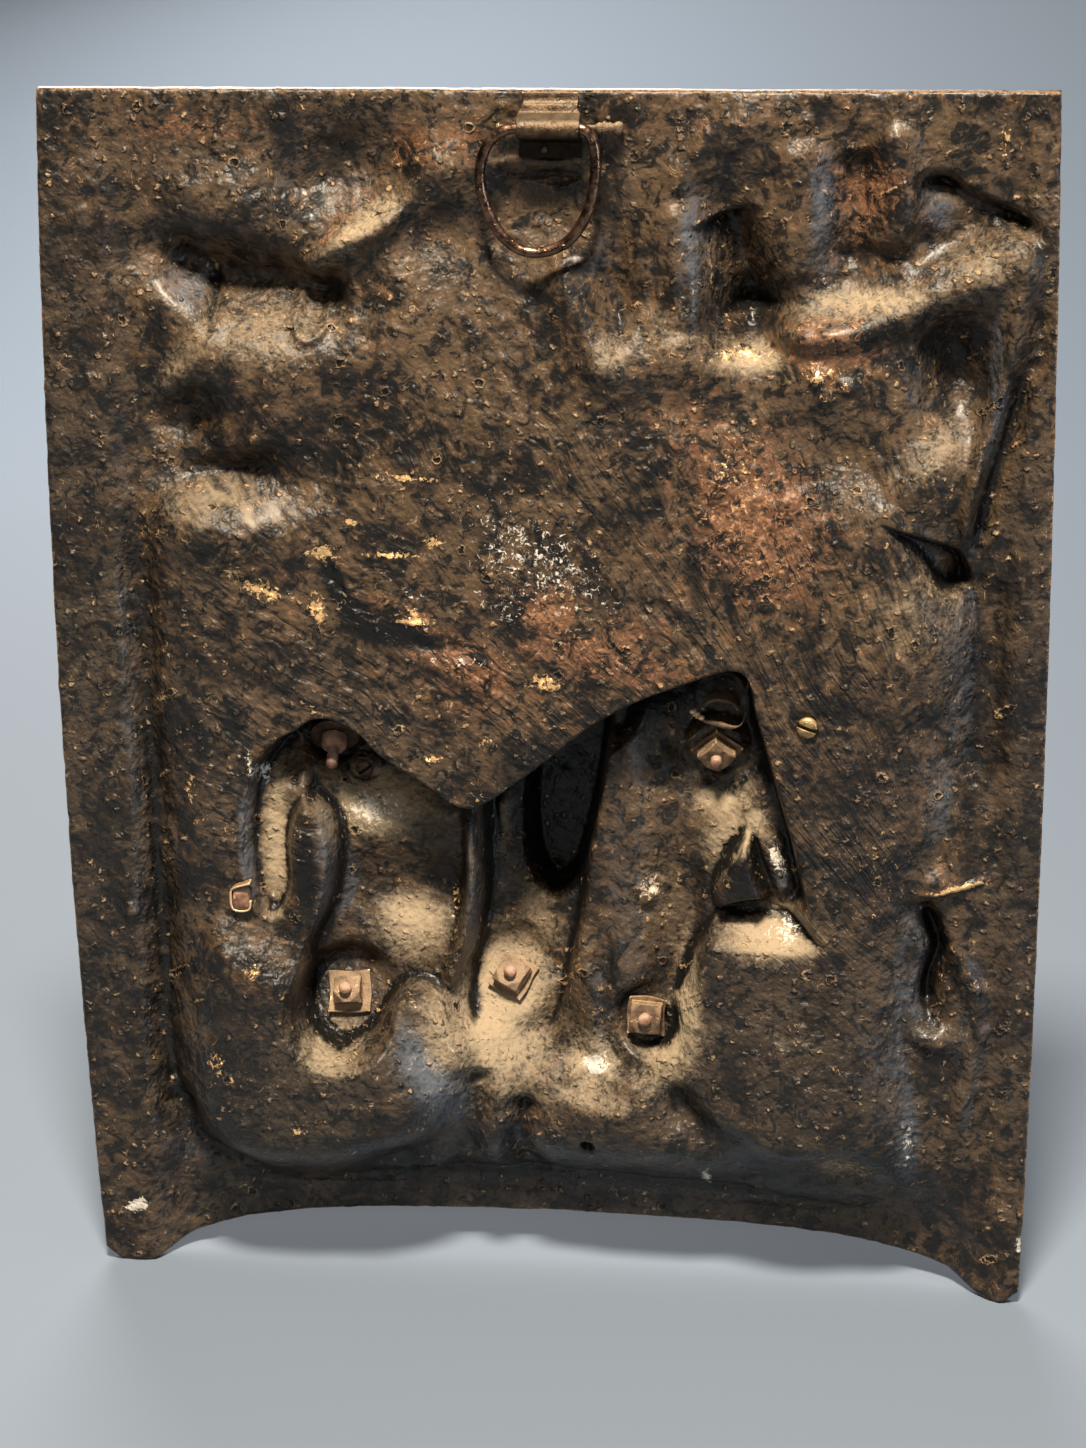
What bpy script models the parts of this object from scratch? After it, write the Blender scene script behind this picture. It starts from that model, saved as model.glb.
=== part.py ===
"""Relief plaque of cast metal, seen from its back: hollow relief, fixings and a hanging ring.

The relief's own tables are in millimetres, from the middle of the plaque's top edge: x to the
right, z up, and depth away from the back face. MM turns them into metres. The world's origin is
on the ring's hinge line, so the plaque hangs below and behind it.
"""
from math import cos, pi, radians, sin

import bmesh
import bpy
import numpy as np
from mathutils import Matrix, Vector

MM = 0.001
GAP = 0.3                      # clearance between two pieces that touch

# driving sizes, millimetres
PANEL_WIDTH = 340.0
PANEL_HEIGHT = 436.6
WALL = 4.4                     # thickness of the cast sheet
RIM_THICKNESS = 6.6
SIDE_BOW = 5.0                 # how far each side edge swells outwards
FIELD = 3.0                    # the field lies this far behind the flat rim
PILLOW_RISE = 8.0              # the broad middle swells back towards the rim's level
ARCH_DEPTH = 26.0              # the lower edge stands back from the rim
ARCH_RISE = 14.0               # and rises between its two feet
HINGE_DROP = 11.6              # hinge line below the top edge
HINGE_PROUD = 6.8              # hinge line in front of the rim
WIRE_RADIUS = 1.9
PIN_RADIUS = 1.1
PIN_BEHIND = 4.6               # pin's axis behind the hinge line
STRAP_MIDDLE = 4.0
STRAP_WIDTH = 20.8
STRAP_SHEET = 1.6
GRID_ACROSS = 136
GRID_DOWN = 172
PANEL_TRIANGLE_SHARE = 0.055   # share of the fine grid's triangles that the solid keeps

RIM_WAVE = 0.25                # unevenness of the cast face
RIM_PADS = [(-190, -156, -385, -60), (158, 190, -410, -190)]   # true flats: x from, to, z from, to

# outlines on the back face, clockwise from the top left, (x, z)
PILLOW = [(-140, -152), (-128, -135), (-104, -130), (-82, -112), (-60, -76), (0, -58), (48, -76),
          (84, -104), (108, -126), (128, -143), (141, -160), (148, -178), (147, -191), (141, -206),
          (136, -220), (140, -236), (141, -248), (138, -262), (131, -276), (127, -300), (126, -330),
          (129, -352), (131, -372), (129, -392), (116, -408), (90, -415), (0, -413), (-90, -412),
          (-120, -404), (-135, -388), (-141, -365), (-140, -260)]
CAVITY = [(-92, -224), (-70, -221), (-59, -231), (-45, -240), (-28, -250), (-11, -240), (0, -231),
          (20, -215), (45, -203), (68, -197), (75, -216), (82, -240), (88, -262), (93, -285),
          (97, -300), (76, -302), (57, -302), (55, -320), (51, -342), (44, -358), (26, -370),
          (4, -375), (-16, -375), (-28, -366), (-34, -350), (-40, -336), (-48, -328), (-58, -331),
          (-68, -341), (-79, -347), (-92, -335),
          (-91, -311), (-84, -292), (-80, -274), (-81, -261), (-87, -254), (-91, -264), (-91, -284),
          (-97, -295), (-105, -293), (-110, -275), (-109, -252), (-104, -236)]
ARM = [(-112, -238), (-98, -226), (-87, -236), (-86, -250), (-89, -266), (-89, -286), (-97, -299),
       (-108, -296), (-114, -276)]
ISLAND = [(70, -258), (75, -272), (79, -285), (69, -288), (58, -290), (57, -278)]
LEFT_TORSO = [(-96, -226), (-80, -221), (-70, -221), (-59, -231), (-45, -240), (-29, -249),
              (-29, -270), (-30, -290), (-36, -308), (-46, -326), (-56, -340), (-78, -343),
              (-90, -330), (-88, -310), (-81, -287), (-76, -266), (-86, -244)]
MIDDLE = [(-27, -250), (-11, -240), (0, -231), (20, -215), (20, -240), (15, -270), (11, -300),
          (7, -322), (2, -342), (-8, -357), (-20, -356), (-32, -344), (-34, -322), (-31, -305),
          (-28, -285)]
VOID = [(-12, -246), (-4, -236), (8, -227), (20, -216), (19, -240), (14, -268), (7, -290),
        (-3, -297), (-11, -288), (-14, -270)]
RIGHT_TORSO = [(24, -226), (30, -211), (45, -203), (68, -197), (75, -216), (80, -240), (72, -250),
               (60, -266), (56, -284), (57, -302), (52, -320), (46, -338), (38, -350), (26, -352),
               (18, -340), (17, -320), (20, -290), (22, -260), (23, -240)]
UNDER_EDGE = [(-24, -250), (0, -232), (20, -215), (45, -203), (68, -197), (73, -211), (50, -221),
              (26, -232), (4, -248), (-18, -262)]
HAM = [(-126, -290), (-138, -330), (-139, -368), (-131, -387), (-117, -400), (-98, -406), (-74, -404),
       (-52, -392), (-37, -374), (-33, -356), (-50, -330), (-90, -300)]
LOWER_BAY = [(-66, -413), (-50, -396), (-38, -374), (-28, -360), (0, -357), (24, -364), (46, -353),
             (70, -374), (90, -396), (72, -412), (0, -416)]

# rounded swellings and dips: x, z, half width, half height, depth (+ sinks), turn in degrees, squareness
MOUNDS = [(-118, -36, 34, 15, -6, 12, 1), (-128, -71, 8, 12, -7, -20, 1), (-96, -92, 36, 26, -8, 18, 1.2),
          (-127, -109, 11, 9, 8, 20, 1), (-30, -24, 13, 12, -4.5, 0, 1), (-34, -48, 13, 8, 4.5, 20, 1),
          (0, -38, 19, 16, 4, 0, 1), (42, -86, 16, 12, -4, 0, 1), (84, -34, 9, 22, -4.5, 0, 1),
          (129, -40, 8, 8, -3, 0, 1), (100, -84, 24, 15, -7, -14, 1.2), (131, -119, 12, 15, -8, 10, 1),
          (137, -274, 7, 6, -5, 0, 1), (137, -333, 7, 5, -5, 0, 1),
          (-24, -386, 13, 18, -6, 0, 1), (26, -384, 30, 16, -5, 0, 1), (105, -388, 12, 10, 8, 0, 1)]

# outline, run of its walls, (z, depth) at its top and at its foot
POCKETS = [
    ([(-95, -22), (-82, -12), (-64, -8), (-48, -12), (-41, -24), (-42, -36), (-56, -46), (-68, -54),
      (-78, -58), (-90, -54), (-99, -38)], 12, (-6, 0.0), (-44, 17)),
    ([(-134, -52), (-122, -43), (-100, -46), (-80, -50), (-66, -51), (-60, -60), (-63, -70), (-74, -78),
      (-88, -82), (-104, -80), (-117, -82), (-125, -70)], 13, (-44, 0.0), (-67, 14)),
    ([(14, -42), (26, -38), (34, -46), (36, -62), (33, -76), (26, -90), (17, -90), (12, -76), (11, -58)],
     8, (-38, 1.0), (-80, 7)),
    ([(54, -34), (66, -28), (79, -34), (84, -48), (82, -62), (83, -78), (77, -89), (66, -92), (56, -86),
      (50, -70), (48, -50)], 11, (-30, 3.0), (-80, 21)),
    ([(96, -16), (104, -12), (109, -20), (108, -40), (107, -58), (100, -63), (96, -52), (94, -32)],
     6, (-12, 8.0), (-60, 12)),
    ([(124, -26), (136, -27), (147, -33), (161, -35), (166, -41), (154, -49), (141, -56), (128, -58),
      (119, -54), (118, -38)], 4, (-28, 8.5), (-56, 1.5)),
    ([(131, -72), (146, -66), (153, -72), (151, -98), (141, -108), (130, -104), (126, -92)],
     8, (-66, 11.0), (-100, 17)),
    ([(118, -137), (130, -140), (146, -151), (147, -161), (136, -157), (124, -147)],
     3.5, (-138, 5.0), (-158, 8))]

# soft ridges (-) and grooves (+): points, half width at each end, depth, fade at the ends
# soft ridges (-) and grooves (+): points, half width at each end, depth, fade at the ends
RIDGES = [([(-144, -150), (-144, -250), (-144, -385)], (6, 6), 4, 0.1),
          ([(-152, -150), (-152, -250), (-152, -380)], (4.5, 4.5), -1.6, 0.1),
          ([(-119, -66), (-121, -76), (-128, -88), (-138, -99)], (4, 4), 6.5, 0.2),
          ([(-124, -116), (-116, -126), (-97, -131)], (6, 6), 7, 0.2),
          ([(-84, -69), (-84.5, -75), (-80.5, -78.5), (-76.5, -75), (-76, -69)], (1.3, 1.3), -2.4, 0.1),
          ([(4, -56), (8, -72), (13, -88)], (5, 5), -3.5, 0.2),
          ([(66, -9), (53, -17), (40, -27)], (6, 6), -4, 0.2),
          ([(42, -34), (43, -52), (40, -66)], (6, 6), -4, 0.2),
          ([(114, -6), (114, -30), (111, -56)], (5.5, 5.5), -6, 0.2),
          ([(130, -29), (146, -37), (166, -40)], (3, 3), 5, 0.15),
          ([(76, -69), (98, -68), (114, -63), (130, -61), (146, -54), (160, -46)], (3.2, 7.5), -4, 0.1),
          ([(159, -56), (153, -84), (147, -110), (143, -134)], (4.4, 2.4), -8, 0.1),
          ([(165, -62), (160, -90), (154, -134)], (4, 4), 5, 0.2),
          ([(126, -106), (120, -116), (112, -126)], (4, 4), -3, 0.2),
          ([(134, -280), (136, -300), (135, -328)], (3.4, 3.4), 15, 0.12),
          ([(142, -296), (150, -318), (151, -345), (144, -374)], (4, 4), -4.5, 0.2),
          ([(-139, -372), (-131, -389), (-116, -402)], (6, 6), 7, 0.2),
          ([(-34, -350), (-36, -368), (-44, -388), (-62, -402)], (5, 6), 5, 0.2),
          ([(-6, -366), (-8, -384), (-6, -403)], (5, 5), 4.5, 0.2)]
CAVITY_RIDGES = [([(-29, -252), (-29, -285), (-33, -306), (-38, -322)], (2.4, 2.4), -9, 0.1),
                 ([(-39, -316), (-37, -330), (-33, -346), (-29, -362)], (4, 4), -4, 0.2),
                 ([(12, -312), (14, -334), (15, -352)], (6, 5), -7, 0.2),
                 ([(15, -352), (0, -357), (-10, -360)], (4, 4), -3.5, 0.2),
                 ([(15, -352), (26, -357), (38, -360)], (4, 4), -3.5, 0.2),
                 ([(70, -254), (78, -268), (83, -286)], (3.5, 3.5), -5, 0.15),
                 ([(-109, -240), (-111, -262), (-110, -292)], (2.0, 2.0), -1.5, 0.1)]

# fixings through the casting: x, z, depth of the seat, seat's slope across and up, turn in degrees,
# washer side, nut side, nut height, stud radius
SQUARE_FIXINGS = {
    "lower_left": (-75.6, -329.9, 14.0, (0.05, 0.20), 4, 15.6, 10.0, 5.0, 2.3),
    "middle": (-16.2, -324.8, 22.0, (-0.10, 0.34), -28, 14.0, 10.5, 5.0, 2.3),
    "lower_right": (33.5, -333.4, 12.5, (0.0, -0.10), -4, 13.6, 11.2, 5.0, 2.3),
    "upper_right": (58.2, -231.6, 17.0, (0.05, -0.30), 45, 13.0, 9.8, 5.0, 2.1),
}
WASHER_SHEET = 1.7
STUD_BEYOND_NUT = 3.2
FLANGE_BOLT = (-79.0, -231.0, 18.0, (0.05, -0.72))
FLANGE_RADIUS = 4.6
FLANGE_WASHER_RADIUS = 8.8
SCREWS = {"brass_screw": (91.1, -216.3, -4.6, (0.0, 0.0), 3.8, -20),
          "shaded_screw": (-69.2, -245.0, 21.0, (0.0, -0.20), 3.1, 35)}
BENT_STRIP = (59.6, -219.5, 21.0, (0.0, 0.0))
STRIP_RADIUS = 8.4
STRIP_SEAT_RISE = 5.9          # its seat's middle lies this far above the arch's centre
STRIP_REACH = 9.0              # how far the strip stands out of its seat
HEAD_RADIUS = 4.6
HEAD_SEAT = WALL + 1.2          # the heads on the front bear this far behind the seat on the back
SEAT_SHARE = 0.72              # radius of a faced seat, as a share of its washer's side
THROUGH = WALL + 14.0          # a hole is cut this deep
SEAT_RAISE = 0.5               # seats stand proud before they are faced flat
CLIP = (-110.3, -286.2, -5.0, (0.0, 0.0))


# ---------------------------------------------------------------- relief of the back face
def soft(t):
    """Soft step from 0 to 1."""
    t = np.clip(t, 0.0, 1.0)
    return t * t * (3.0 - 2.0 * t)


def curve(points, closed=False, steps=5):
    """Smooth path through a few points."""
    p = np.array(points, float)
    if closed:
        p = np.vstack([p[-1], p, p[0], p[1]])
    else:
        p = np.vstack([2 * p[0] - p[1], p, 2 * p[-1] - p[-2]])
    path = []
    for a, b, c, d in zip(p[:-3], p[1:-2], p[2:-1], p[3:]):
        for t in np.arange(steps) / steps:
            path.append(0.5 * (2 * b + (c - a) * t + (2 * a - 5 * b + 4 * c - d) * t ** 2
                               + (3 * b - a - 3 * c + d) * t ** 3))
    if not closed:
        path.append(p[-2])
    return np.array(path)


def nearest(x, z, path, closed=False):
    """Distance to a path, and how far along it (0 to 1) the nearest point lies."""
    ends = np.vstack([path, path[:1]]) if closed else path
    best = np.full(x.shape, 1e9)
    along = np.zeros(x.shape)
    count = len(ends) - 1
    for i in range(count):
        (ax, az), (bx, bz) = ends[i], ends[i + 1]
        dx, dz = bx - ax, bz - az
        t = np.clip(((x - ax) * dx + (z - az) * dz) / (dx * dx + dz * dz), 0, 1)
        d = np.hypot(x - ax - t * dx, z - az - t * dz)
        near = d < best
        best = np.where(near, d, best)
        along = np.where(near, (i + t) / count, along)
    return best, along


def around(x, z, path, margin):
    """Which points lie near enough to a path's box to feel it."""
    low, high = path.min(axis=0) - margin, path.max(axis=0) + margin
    return (x > low[0]) & (x < high[0]) & (z > low[1]) & (z < high[1])


def inward(x, z, outline):
    """Distance to a closed outline, positive inside and negative outside."""
    path = curve(outline, closed=True)
    result = np.full(x.shape, -99.0)
    here = around(x, z, path, 4.0)
    px, pz = x[here], z[here]
    dist, _ = nearest(px, pz, path, closed=True)
    inside = np.zeros(px.shape, bool)
    for (ax, az), (bx, bz) in zip(path, np.roll(path, -1, axis=0)):
        if az != bz:
            inside ^= ((az > pz) != (bz > pz)) & (px < (bx - ax) * (pz - az) / (bz - az) + ax)
    result[here] = np.where(inside, dist, -dist)
    return result


def ridge(x, z, points, widths, depth, fade):
    """Soft ridge or groove along a path, fading at its ends."""
    path = curve(points)
    result = np.zeros(x.shape)
    here = around(x, z, path, 2.7 * max(widths))
    d, along = nearest(x[here], z[here], path)
    width = widths[0] + (widths[1] - widths[0]) * along
    ends = soft(along / fade) * soft((1 - along) / fade)
    result[here] = depth * (0.35 + 0.65 * ends) * np.exp(-(d / width) ** 2)
    return result


def mound(x, z, middle_x, middle_z, half_width, half_height, depth, turn, squareness):
    """Rounded swelling or dip."""
    c, s = cos(radians(turn)), sin(radians(turn))
    u = ((x - middle_x) * c + (z - middle_z) * s) / half_width
    v = (-(x - middle_x) * s + (z - middle_z) * c) / half_height
    return depth * np.exp(-(u * u + v * v) ** squareness)


def levels(z, knots):
    """Level that passes softly through a few (z, depth) knots, from top to bottom."""
    out = np.full(np.shape(z), float(knots[0][1]))
    for (za, ya), (zb, yb) in zip(knots[:-1], knots[1:]):
        out = out + (yb - ya) * soft((za - z) / (za - zb))
    return out


def sink(y, x, z, outline, run, floor):
    """Take the surface to another floor inside an outline, over a run of slope."""
    return y + soft(inward(x, z, outline) / run) * (floor - y)


def bottom_line(x):
    """Lower edge: its height, and how far it stands back between the two feet."""
    foot = np.where(x < 0, 158 + x, 163 - x)
    arch = soft(foot / 20) * (1 - np.exp(-np.maximum(foot, 0) / 34))
    tip = -PANEL_HEIGHT + 6 * soft((np.abs(x) - 163) / 10)
    return tip + ARCH_RISE * arch, ARCH_DEPTH * arch


def side_line(z, side):
    """Side edge, slightly bowed; side is -1 for the left and 1 for the right."""
    bow = SIDE_BOW * np.sin(pi * np.clip(-z / PANEL_HEIGHT, 0, 1)) ** 0.8
    return side * (PANEL_WIDTH / 2 + bow * (0.5 if side > 0 else 1.0))


def rim_inside(x, z):
    """Distance inside the flat rim."""
    return np.minimum(np.minimum(x + 152, 164 - x), (-z - 4) / 3)


def pocket(x, z, outline, run, top, foot):
    """Hollow whose floor slopes evenly from its top to its foot."""
    floor = top[1] + (foot[1] - top[1]) * np.clip((top[0] - z) / (top[0] - foot[0]), 0, 1)
    return soft(inward(x, z, outline) / run) * floor


def figure_floor(x, z):
    """Floor of the figures' hollow: two torsos, the gap between them and the arms."""
    floor = np.full(x.shape, 13.0)
    left = levels(z, [(-225, 27), (-240, 24), (-264, 12), (-288, 19), (-308, 14), (-340, 14)])
    right = levels(z, [(-200, 26), (-228, 22), (-262, 15), (-285, 18), (-345, 14)])
    floor = sink(floor, x, z, LEFT_TORSO, 10, left)
    floor = sink(floor, x, z, UNDER_EDGE, 6, 25.0)
    floor = sink(floor, x, z, MIDDLE, 5, levels(z, [(-240, 33), (-296, 28), (-330, 21), (-372, 6)]))
    floor = sink(floor, x, z, VOID, 5, 48.0)
    floor = sink(floor, x, z, RIGHT_TORSO, 8, right - 8 * soft((46 - x) / 26))
    floor = sink(floor, x, z, ARM, 3, levels(z, [(-232, 16), (-250, 5), (-296, 1)]))
    for row in CAVITY_RIDGES:
        floor = floor + ridge(x, z, *row)
    return sink(floor, x, z, ISLAND, 5, 1.0)


def cavity_share(x, z):
    """How much of the figures' hollow a point feels; its lower sides rise more gently."""
    run = 4.5 + 5 * soft((-310 - z) / 20) * soft((x + 62) / 10) + 7 * soft((-282 - z) / 8) * soft((x - 54) / 6)
    run = run + 4 * soft((-300 - z) / 15) * soft((x - 36) / 8)
    run = run + 20 * soft((-320 - z) / 25) * soft((x + 36) / 16) * soft((48 - x) / 10)
    return soft(inward(x, z, CAVITY) / run)


def seats():
    """Every place that is faced flat: x, z, depth, slopes and radius."""
    x, z, depth, slope = BENT_STRIP
    yield x, z + STRIP_SEAT_RISE, depth, slope, STRIP_RADIUS
    for x, z, depth, slope, _, washer, *_ in SQUARE_FIXINGS.values():
        yield x, z, depth, slope, washer * SEAT_SHARE
    yield *FLANGE_BOLT, FLANGE_WASHER_RADIUS + 0.8
    for x, z, depth, slope, radius, _ in SCREWS.values():
        yield x, z, depth, slope, radius + 0.8


def back_depth(x, z):
    """Depth of the back face at every (x, z)."""
    z_edge, y_edge = bottom_line(x)
    y = FIELD * soft(rim_inside(x, z) / 9) + y_edge * soft((52 - (z - z_edge)) / 44)
    run = 20 + 44 * soft((z + 165) / 60) * soft((125 - np.abs(x)) / 40)
    y = y - PILLOW_RISE * np.sqrt(soft(inward(x, z, PILLOW) / run))
    y = y + 8 * soft(inward(x, z, LOWER_BAY) / 14)
    y = y - 5 * soft(inward(x, z, HAM) / 24)
    for row in MOUNDS:
        y = y + mound(x, z, *row)
    for row in RIDGES:
        y = y + ridge(x, z, *row)
    for row in POCKETS:
        y = y + pocket(x, z, *row)
    y = y + cavity_share(x, z) * (figure_floor(x, z) - y)
    for seat_x, seat_z, depth, slope, radius in seats():
        plane = depth - SEAT_RAISE + slope[0] * (x - seat_x) + slope[1] * (z - seat_z)
        near = soft((radius + 5 - np.hypot(x - seat_x, z - seat_z)) / 5)
        y = y + near * (plane - y)
    y = y + RIM_WAVE * np.sin(x / 17) * np.cos(z / 23)
    for low_x, high_x, low_z, high_z in RIM_PADS:
        beside = np.maximum(np.maximum(low_x - x, x - high_x), np.maximum(low_z - z, z - high_z))
        y = y * soft(beside / 4)
    return y


def front_depth(x, z):
    """Depth of the front face: everywhere at least one wall away from the back face."""
    y = back_depth(x, z) + WALL
    for share, count in ((0.5, 6), (0.85, 10)):
        reach = WALL * share
        lift = WALL * (1 - share ** 2) ** 0.5
        for i in range(count):
            angle = 2 * pi * i / count
            y = np.maximum(y, back_depth(x + reach * cos(angle), z + reach * sin(angle)) + lift)
    rim = 1 - soft(rim_inside(x, z) / 12)
    return np.maximum(y, back_depth(x, z) + WALL + (RIM_THICKNESS - WALL) * rim)


# ---------------------------------------------------------------- helpers
def world(x, depth, z):
    """Relief millimetres to world metres."""
    return Vector((x, depth + HINGE_PROUD, z + HINGE_DROP)) * MM


def metal(name, colour, roughness, metallic=1.0):
    """A plain Principled material."""
    material = bpy.data.materials.new(name)
    material.use_nodes = True
    shader = material.node_tree.nodes["Principled BSDF"]
    shader.inputs["Base Color"].default_value = (*colour, 1.0)
    shader.inputs["Roughness"].default_value = roughness
    shader.inputs["Metallic"].default_value = metallic
    material.diffuse_color = (*colour, 1.0)
    return material


def keep(name, mesh, look, matrix=None, collection=None):
    """Put a mesh into the plaque's collection as a named object."""
    obj = bpy.data.objects.new(name, mesh)
    (collection or plaque).objects.link(obj)
    obj.data.materials.append(look)
    if matrix is not None:
        obj.matrix_world = matrix
    return obj


def seat_matrix(x, z, depth, slope, turn=0.0):
    """Frame on a seat: Z stands out of the back face, turned by some degrees."""
    out = Vector((slope[0], -1.0, slope[1])).normalized()
    across = Vector((1.0, 0.0, 0.0))
    across = (across - across.dot(out) * out).normalized()
    up = out.cross(across)
    frame = Matrix((across, up, out)).transposed().to_4x4()
    frame.translation = world(x, depth, z)
    return frame @ Matrix.Rotation(radians(turn), 4, "Z")


def turned(name, profile, look, matrix, steps, collection=None):
    """Turned piece: a profile of (radius, height) in millimetres, from the top down."""
    mesh = bpy.data.meshes.new(name)
    points = [(r * MM, 0.0, h * MM) for r, h in profile]
    mesh.from_pydata(points, [(i, i + 1) for i in range(len(points) - 1)], [])
    obj = keep(name, mesh, look, matrix, collection)
    screw = obj.modifiers.new("turn", "SCREW")
    screw.axis = "Z"
    screw.angle = 2 * pi
    screw.steps = steps
    screw.render_steps = steps
    screw.use_merge_vertices = True
    screw.merge_threshold = 0.00005
    return obj


def block(name, side_x, side_y, low, high, bevel, look, matrix):
    """Rectangular plate or nut standing from low to high above its seat."""
    mesh = bpy.data.meshes.new(name)
    bm = bmesh.new()
    bmesh.ops.create_cube(bm, size=1.0)
    bmesh.ops.scale(bm, vec=(side_x * MM, side_y * MM, (high - low) * MM), verts=bm.verts)
    bmesh.ops.translate(bm, vec=(0, 0, (high + low) / 2 * MM), verts=bm.verts)
    bm.to_mesh(mesh)
    bm.free()
    obj = keep(name, mesh, look, matrix)
    edge = obj.modifiers.new("edge", "BEVEL")
    edge.width = bevel * MM
    edge.segments = 1
    edge.limit_method = "ANGLE"
    return obj


def cut(obj, cutter, name):
    """Take a cutter out of an object."""
    boolean = obj.modifiers.new(name, "BOOLEAN")
    boolean.operation = "DIFFERENCE"
    boolean.object = cutter
    boolean.solver = "EXACT"


def hide(cutter):
    """Show a cutter as wire and leave it out of the part."""
    cutter.hide_render = True
    cutter.display_type = "WIRE"
    return cutter


def tube(name, path, radius, look, closed=False, resolution=2):
    """Wire along a path of world points, with filled ends."""
    data = bpy.data.curves.new(name, "CURVE")
    data.dimensions = "3D"
    spline = data.splines.new("POLY")
    spline.points.add(len(path) - 1)
    for point, place in zip(spline.points, path):
        point.co = (*place, 1.0)
    spline.use_cyclic_u = closed
    data.bevel_depth = radius * MM
    data.bevel_resolution = resolution
    data.use_fill_caps = True
    obj = bpy.data.objects.new(name, data)
    plaque.objects.link(obj)
    data.materials.append(look)
    return obj


def sheet(name, outlines, half_width, look, matrix):
    """Piece with one section all along: closed outlines, the first one outside, the others holes."""
    data = bpy.data.curves.new(name, "CURVE")
    data.dimensions = "2D"
    data.fill_mode = "BOTH"
    data.extrude = half_width * MM
    for outline in outlines:
        spline = data.splines.new("POLY")
        spline.points.add(len(outline) - 1)
        for point, (a, b) in zip(spline.points, outline):
            point.co = (a * MM, b * MM, 0.0, 1.0)
        spline.use_cyclic_u = True
    obj = bpy.data.objects.new(name, data)
    plaque.objects.link(obj)
    data.materials.append(look)
    obj.matrix_world = matrix
    return obj


def circle(middle_a, middle_b, radius, count):
    """Points of a circle."""
    angles = [2 * pi * i / count for i in range(count)]
    return [(middle_a + radius * cos(t), middle_b + radius * sin(t)) for t in angles]


# ---------------------------------------------------------------- pieces
def make_panel(look):
    """Cast panel: one closed shell whose back and front faces share a grid."""
    bm = bmesh.new()
    bmesh.ops.create_grid(bm, x_segments=GRID_ACROSS, y_segments=GRID_DOWN, size=0.5)
    bmesh.ops.extrude_face_region(bm, geom=bm.faces[:])
    mesh = bpy.data.meshes.new("relief_panel")
    bm.to_mesh(mesh)
    bm.free()
    total = len(mesh.vertices)
    place = np.empty(total * 3)
    mesh.vertices.foreach_get("co", place)
    place = place.reshape(-1, 3)
    across, down = place[:, 0] + 0.5, 0.5 - place[:, 1]
    rough_z = -PANEL_HEIGHT * down
    x = side_line(rough_z, -1) + across * (side_line(rough_z, 1) - side_line(rough_z, -1))
    z = bottom_line(x)[0] * down
    front = np.arange(total) >= total // 2
    y = np.where(front, front_depth(x, z), back_depth(x, z))
    place[:, 0] = x * MM
    place[:, 1] = (y + HINGE_PROUD) * MM
    place[:, 2] = (z + HINGE_DROP) * MM
    mesh.vertices.foreach_set("co", place.ravel())
    bm = bmesh.new()
    bm.from_mesh(mesh)
    bmesh.ops.recalc_face_normals(bm, faces=bm.faces)
    bm.to_mesh(mesh)
    bm.free()
    obj = keep("relief_panel", mesh, look)
    obj.data.shade_smooth()
    fewer = obj.modifiers.new("fewer faces", "DECIMATE")
    fewer.ratio = PANEL_TRIANGLE_SHARE
    return obj


def make_hanger(brass, copper, iron):
    """Folded strap on the back, the ring that swings in it and the pin that locks the fold."""
    back_face = HINGE_PROUD - GAP
    eye = WIRE_RADIUS + 0.4
    round_eye = eye + 1.7
    fold = [(back_face, 11.2), (back_face - STRAP_SHEET, 11.3), (4.5, 7.4), (3.3, 7.1), (2.7, 4.7),
            (1.2, 4.3)]
    knuckle = [(round_eye * cos(t), round_eye * sin(t)) for t in (radians(100 + 20 * i) for i in range(9))]
    tail = [(3.2, -4.2), (back_face - STRAP_SHEET, -5.2), (back_face - STRAP_SHEET, -10.2),
            (back_face, -10.3)]
    section = fold + knuckle + tail
    turn = Matrix(((0, 0, 1, STRAP_MIDDLE * MM), (1, 0, 0, 0), (0, 1, 0, 0), (0, 0, 0, 1)))
    holes = [circle(0, 0, eye, 16), circle(PIN_BEHIND, -0.5, PIN_RADIUS + 0.3, 12)]
    sheet("hanger_strap", [section[::-1]] + holes, STRAP_WIDTH / 2, brass, turn)

    loop = [(-8, -0.1), (-2, 0), (6, 0), (14.6, 0), (18.2, -2.7), (19.6, -9), (19.1, -18),
            (16.4, -28), (10.6, -36.6), (2, -40.6), (-6.5, -39.6), (-13.6, -33), (-18, -22.5),
            (-18.8, -13), (-16.4, -5.8), (-12.3, -1.6)]
    path = curve(loop, closed=True, steps=2)
    places = [(a * MM, 0.0, b * MM) for a, b in path]
    tube("hanging_ring", places, WIRE_RADIUS, copper, closed=True)

    along = Matrix.Translation((0, PIN_BEHIND * MM, -0.5 * MM)) @ Matrix.Rotation(pi / 2, 4, "Y")
    pin = [(0, 28.4), (1.6, 28.0), (2.3, 27.0), (2.2, 25.2), (1.9, 23.8), (1.9, 20.4), (1.4, 19.2),
           (PIN_RADIUS, 18.9), (PIN_RADIUS, -12.0),
           (1.7, -12.6), (1.4, -13.6), (0, -13.9)]
    turned("hanger_pin", pin, iron, along, 12)


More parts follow.
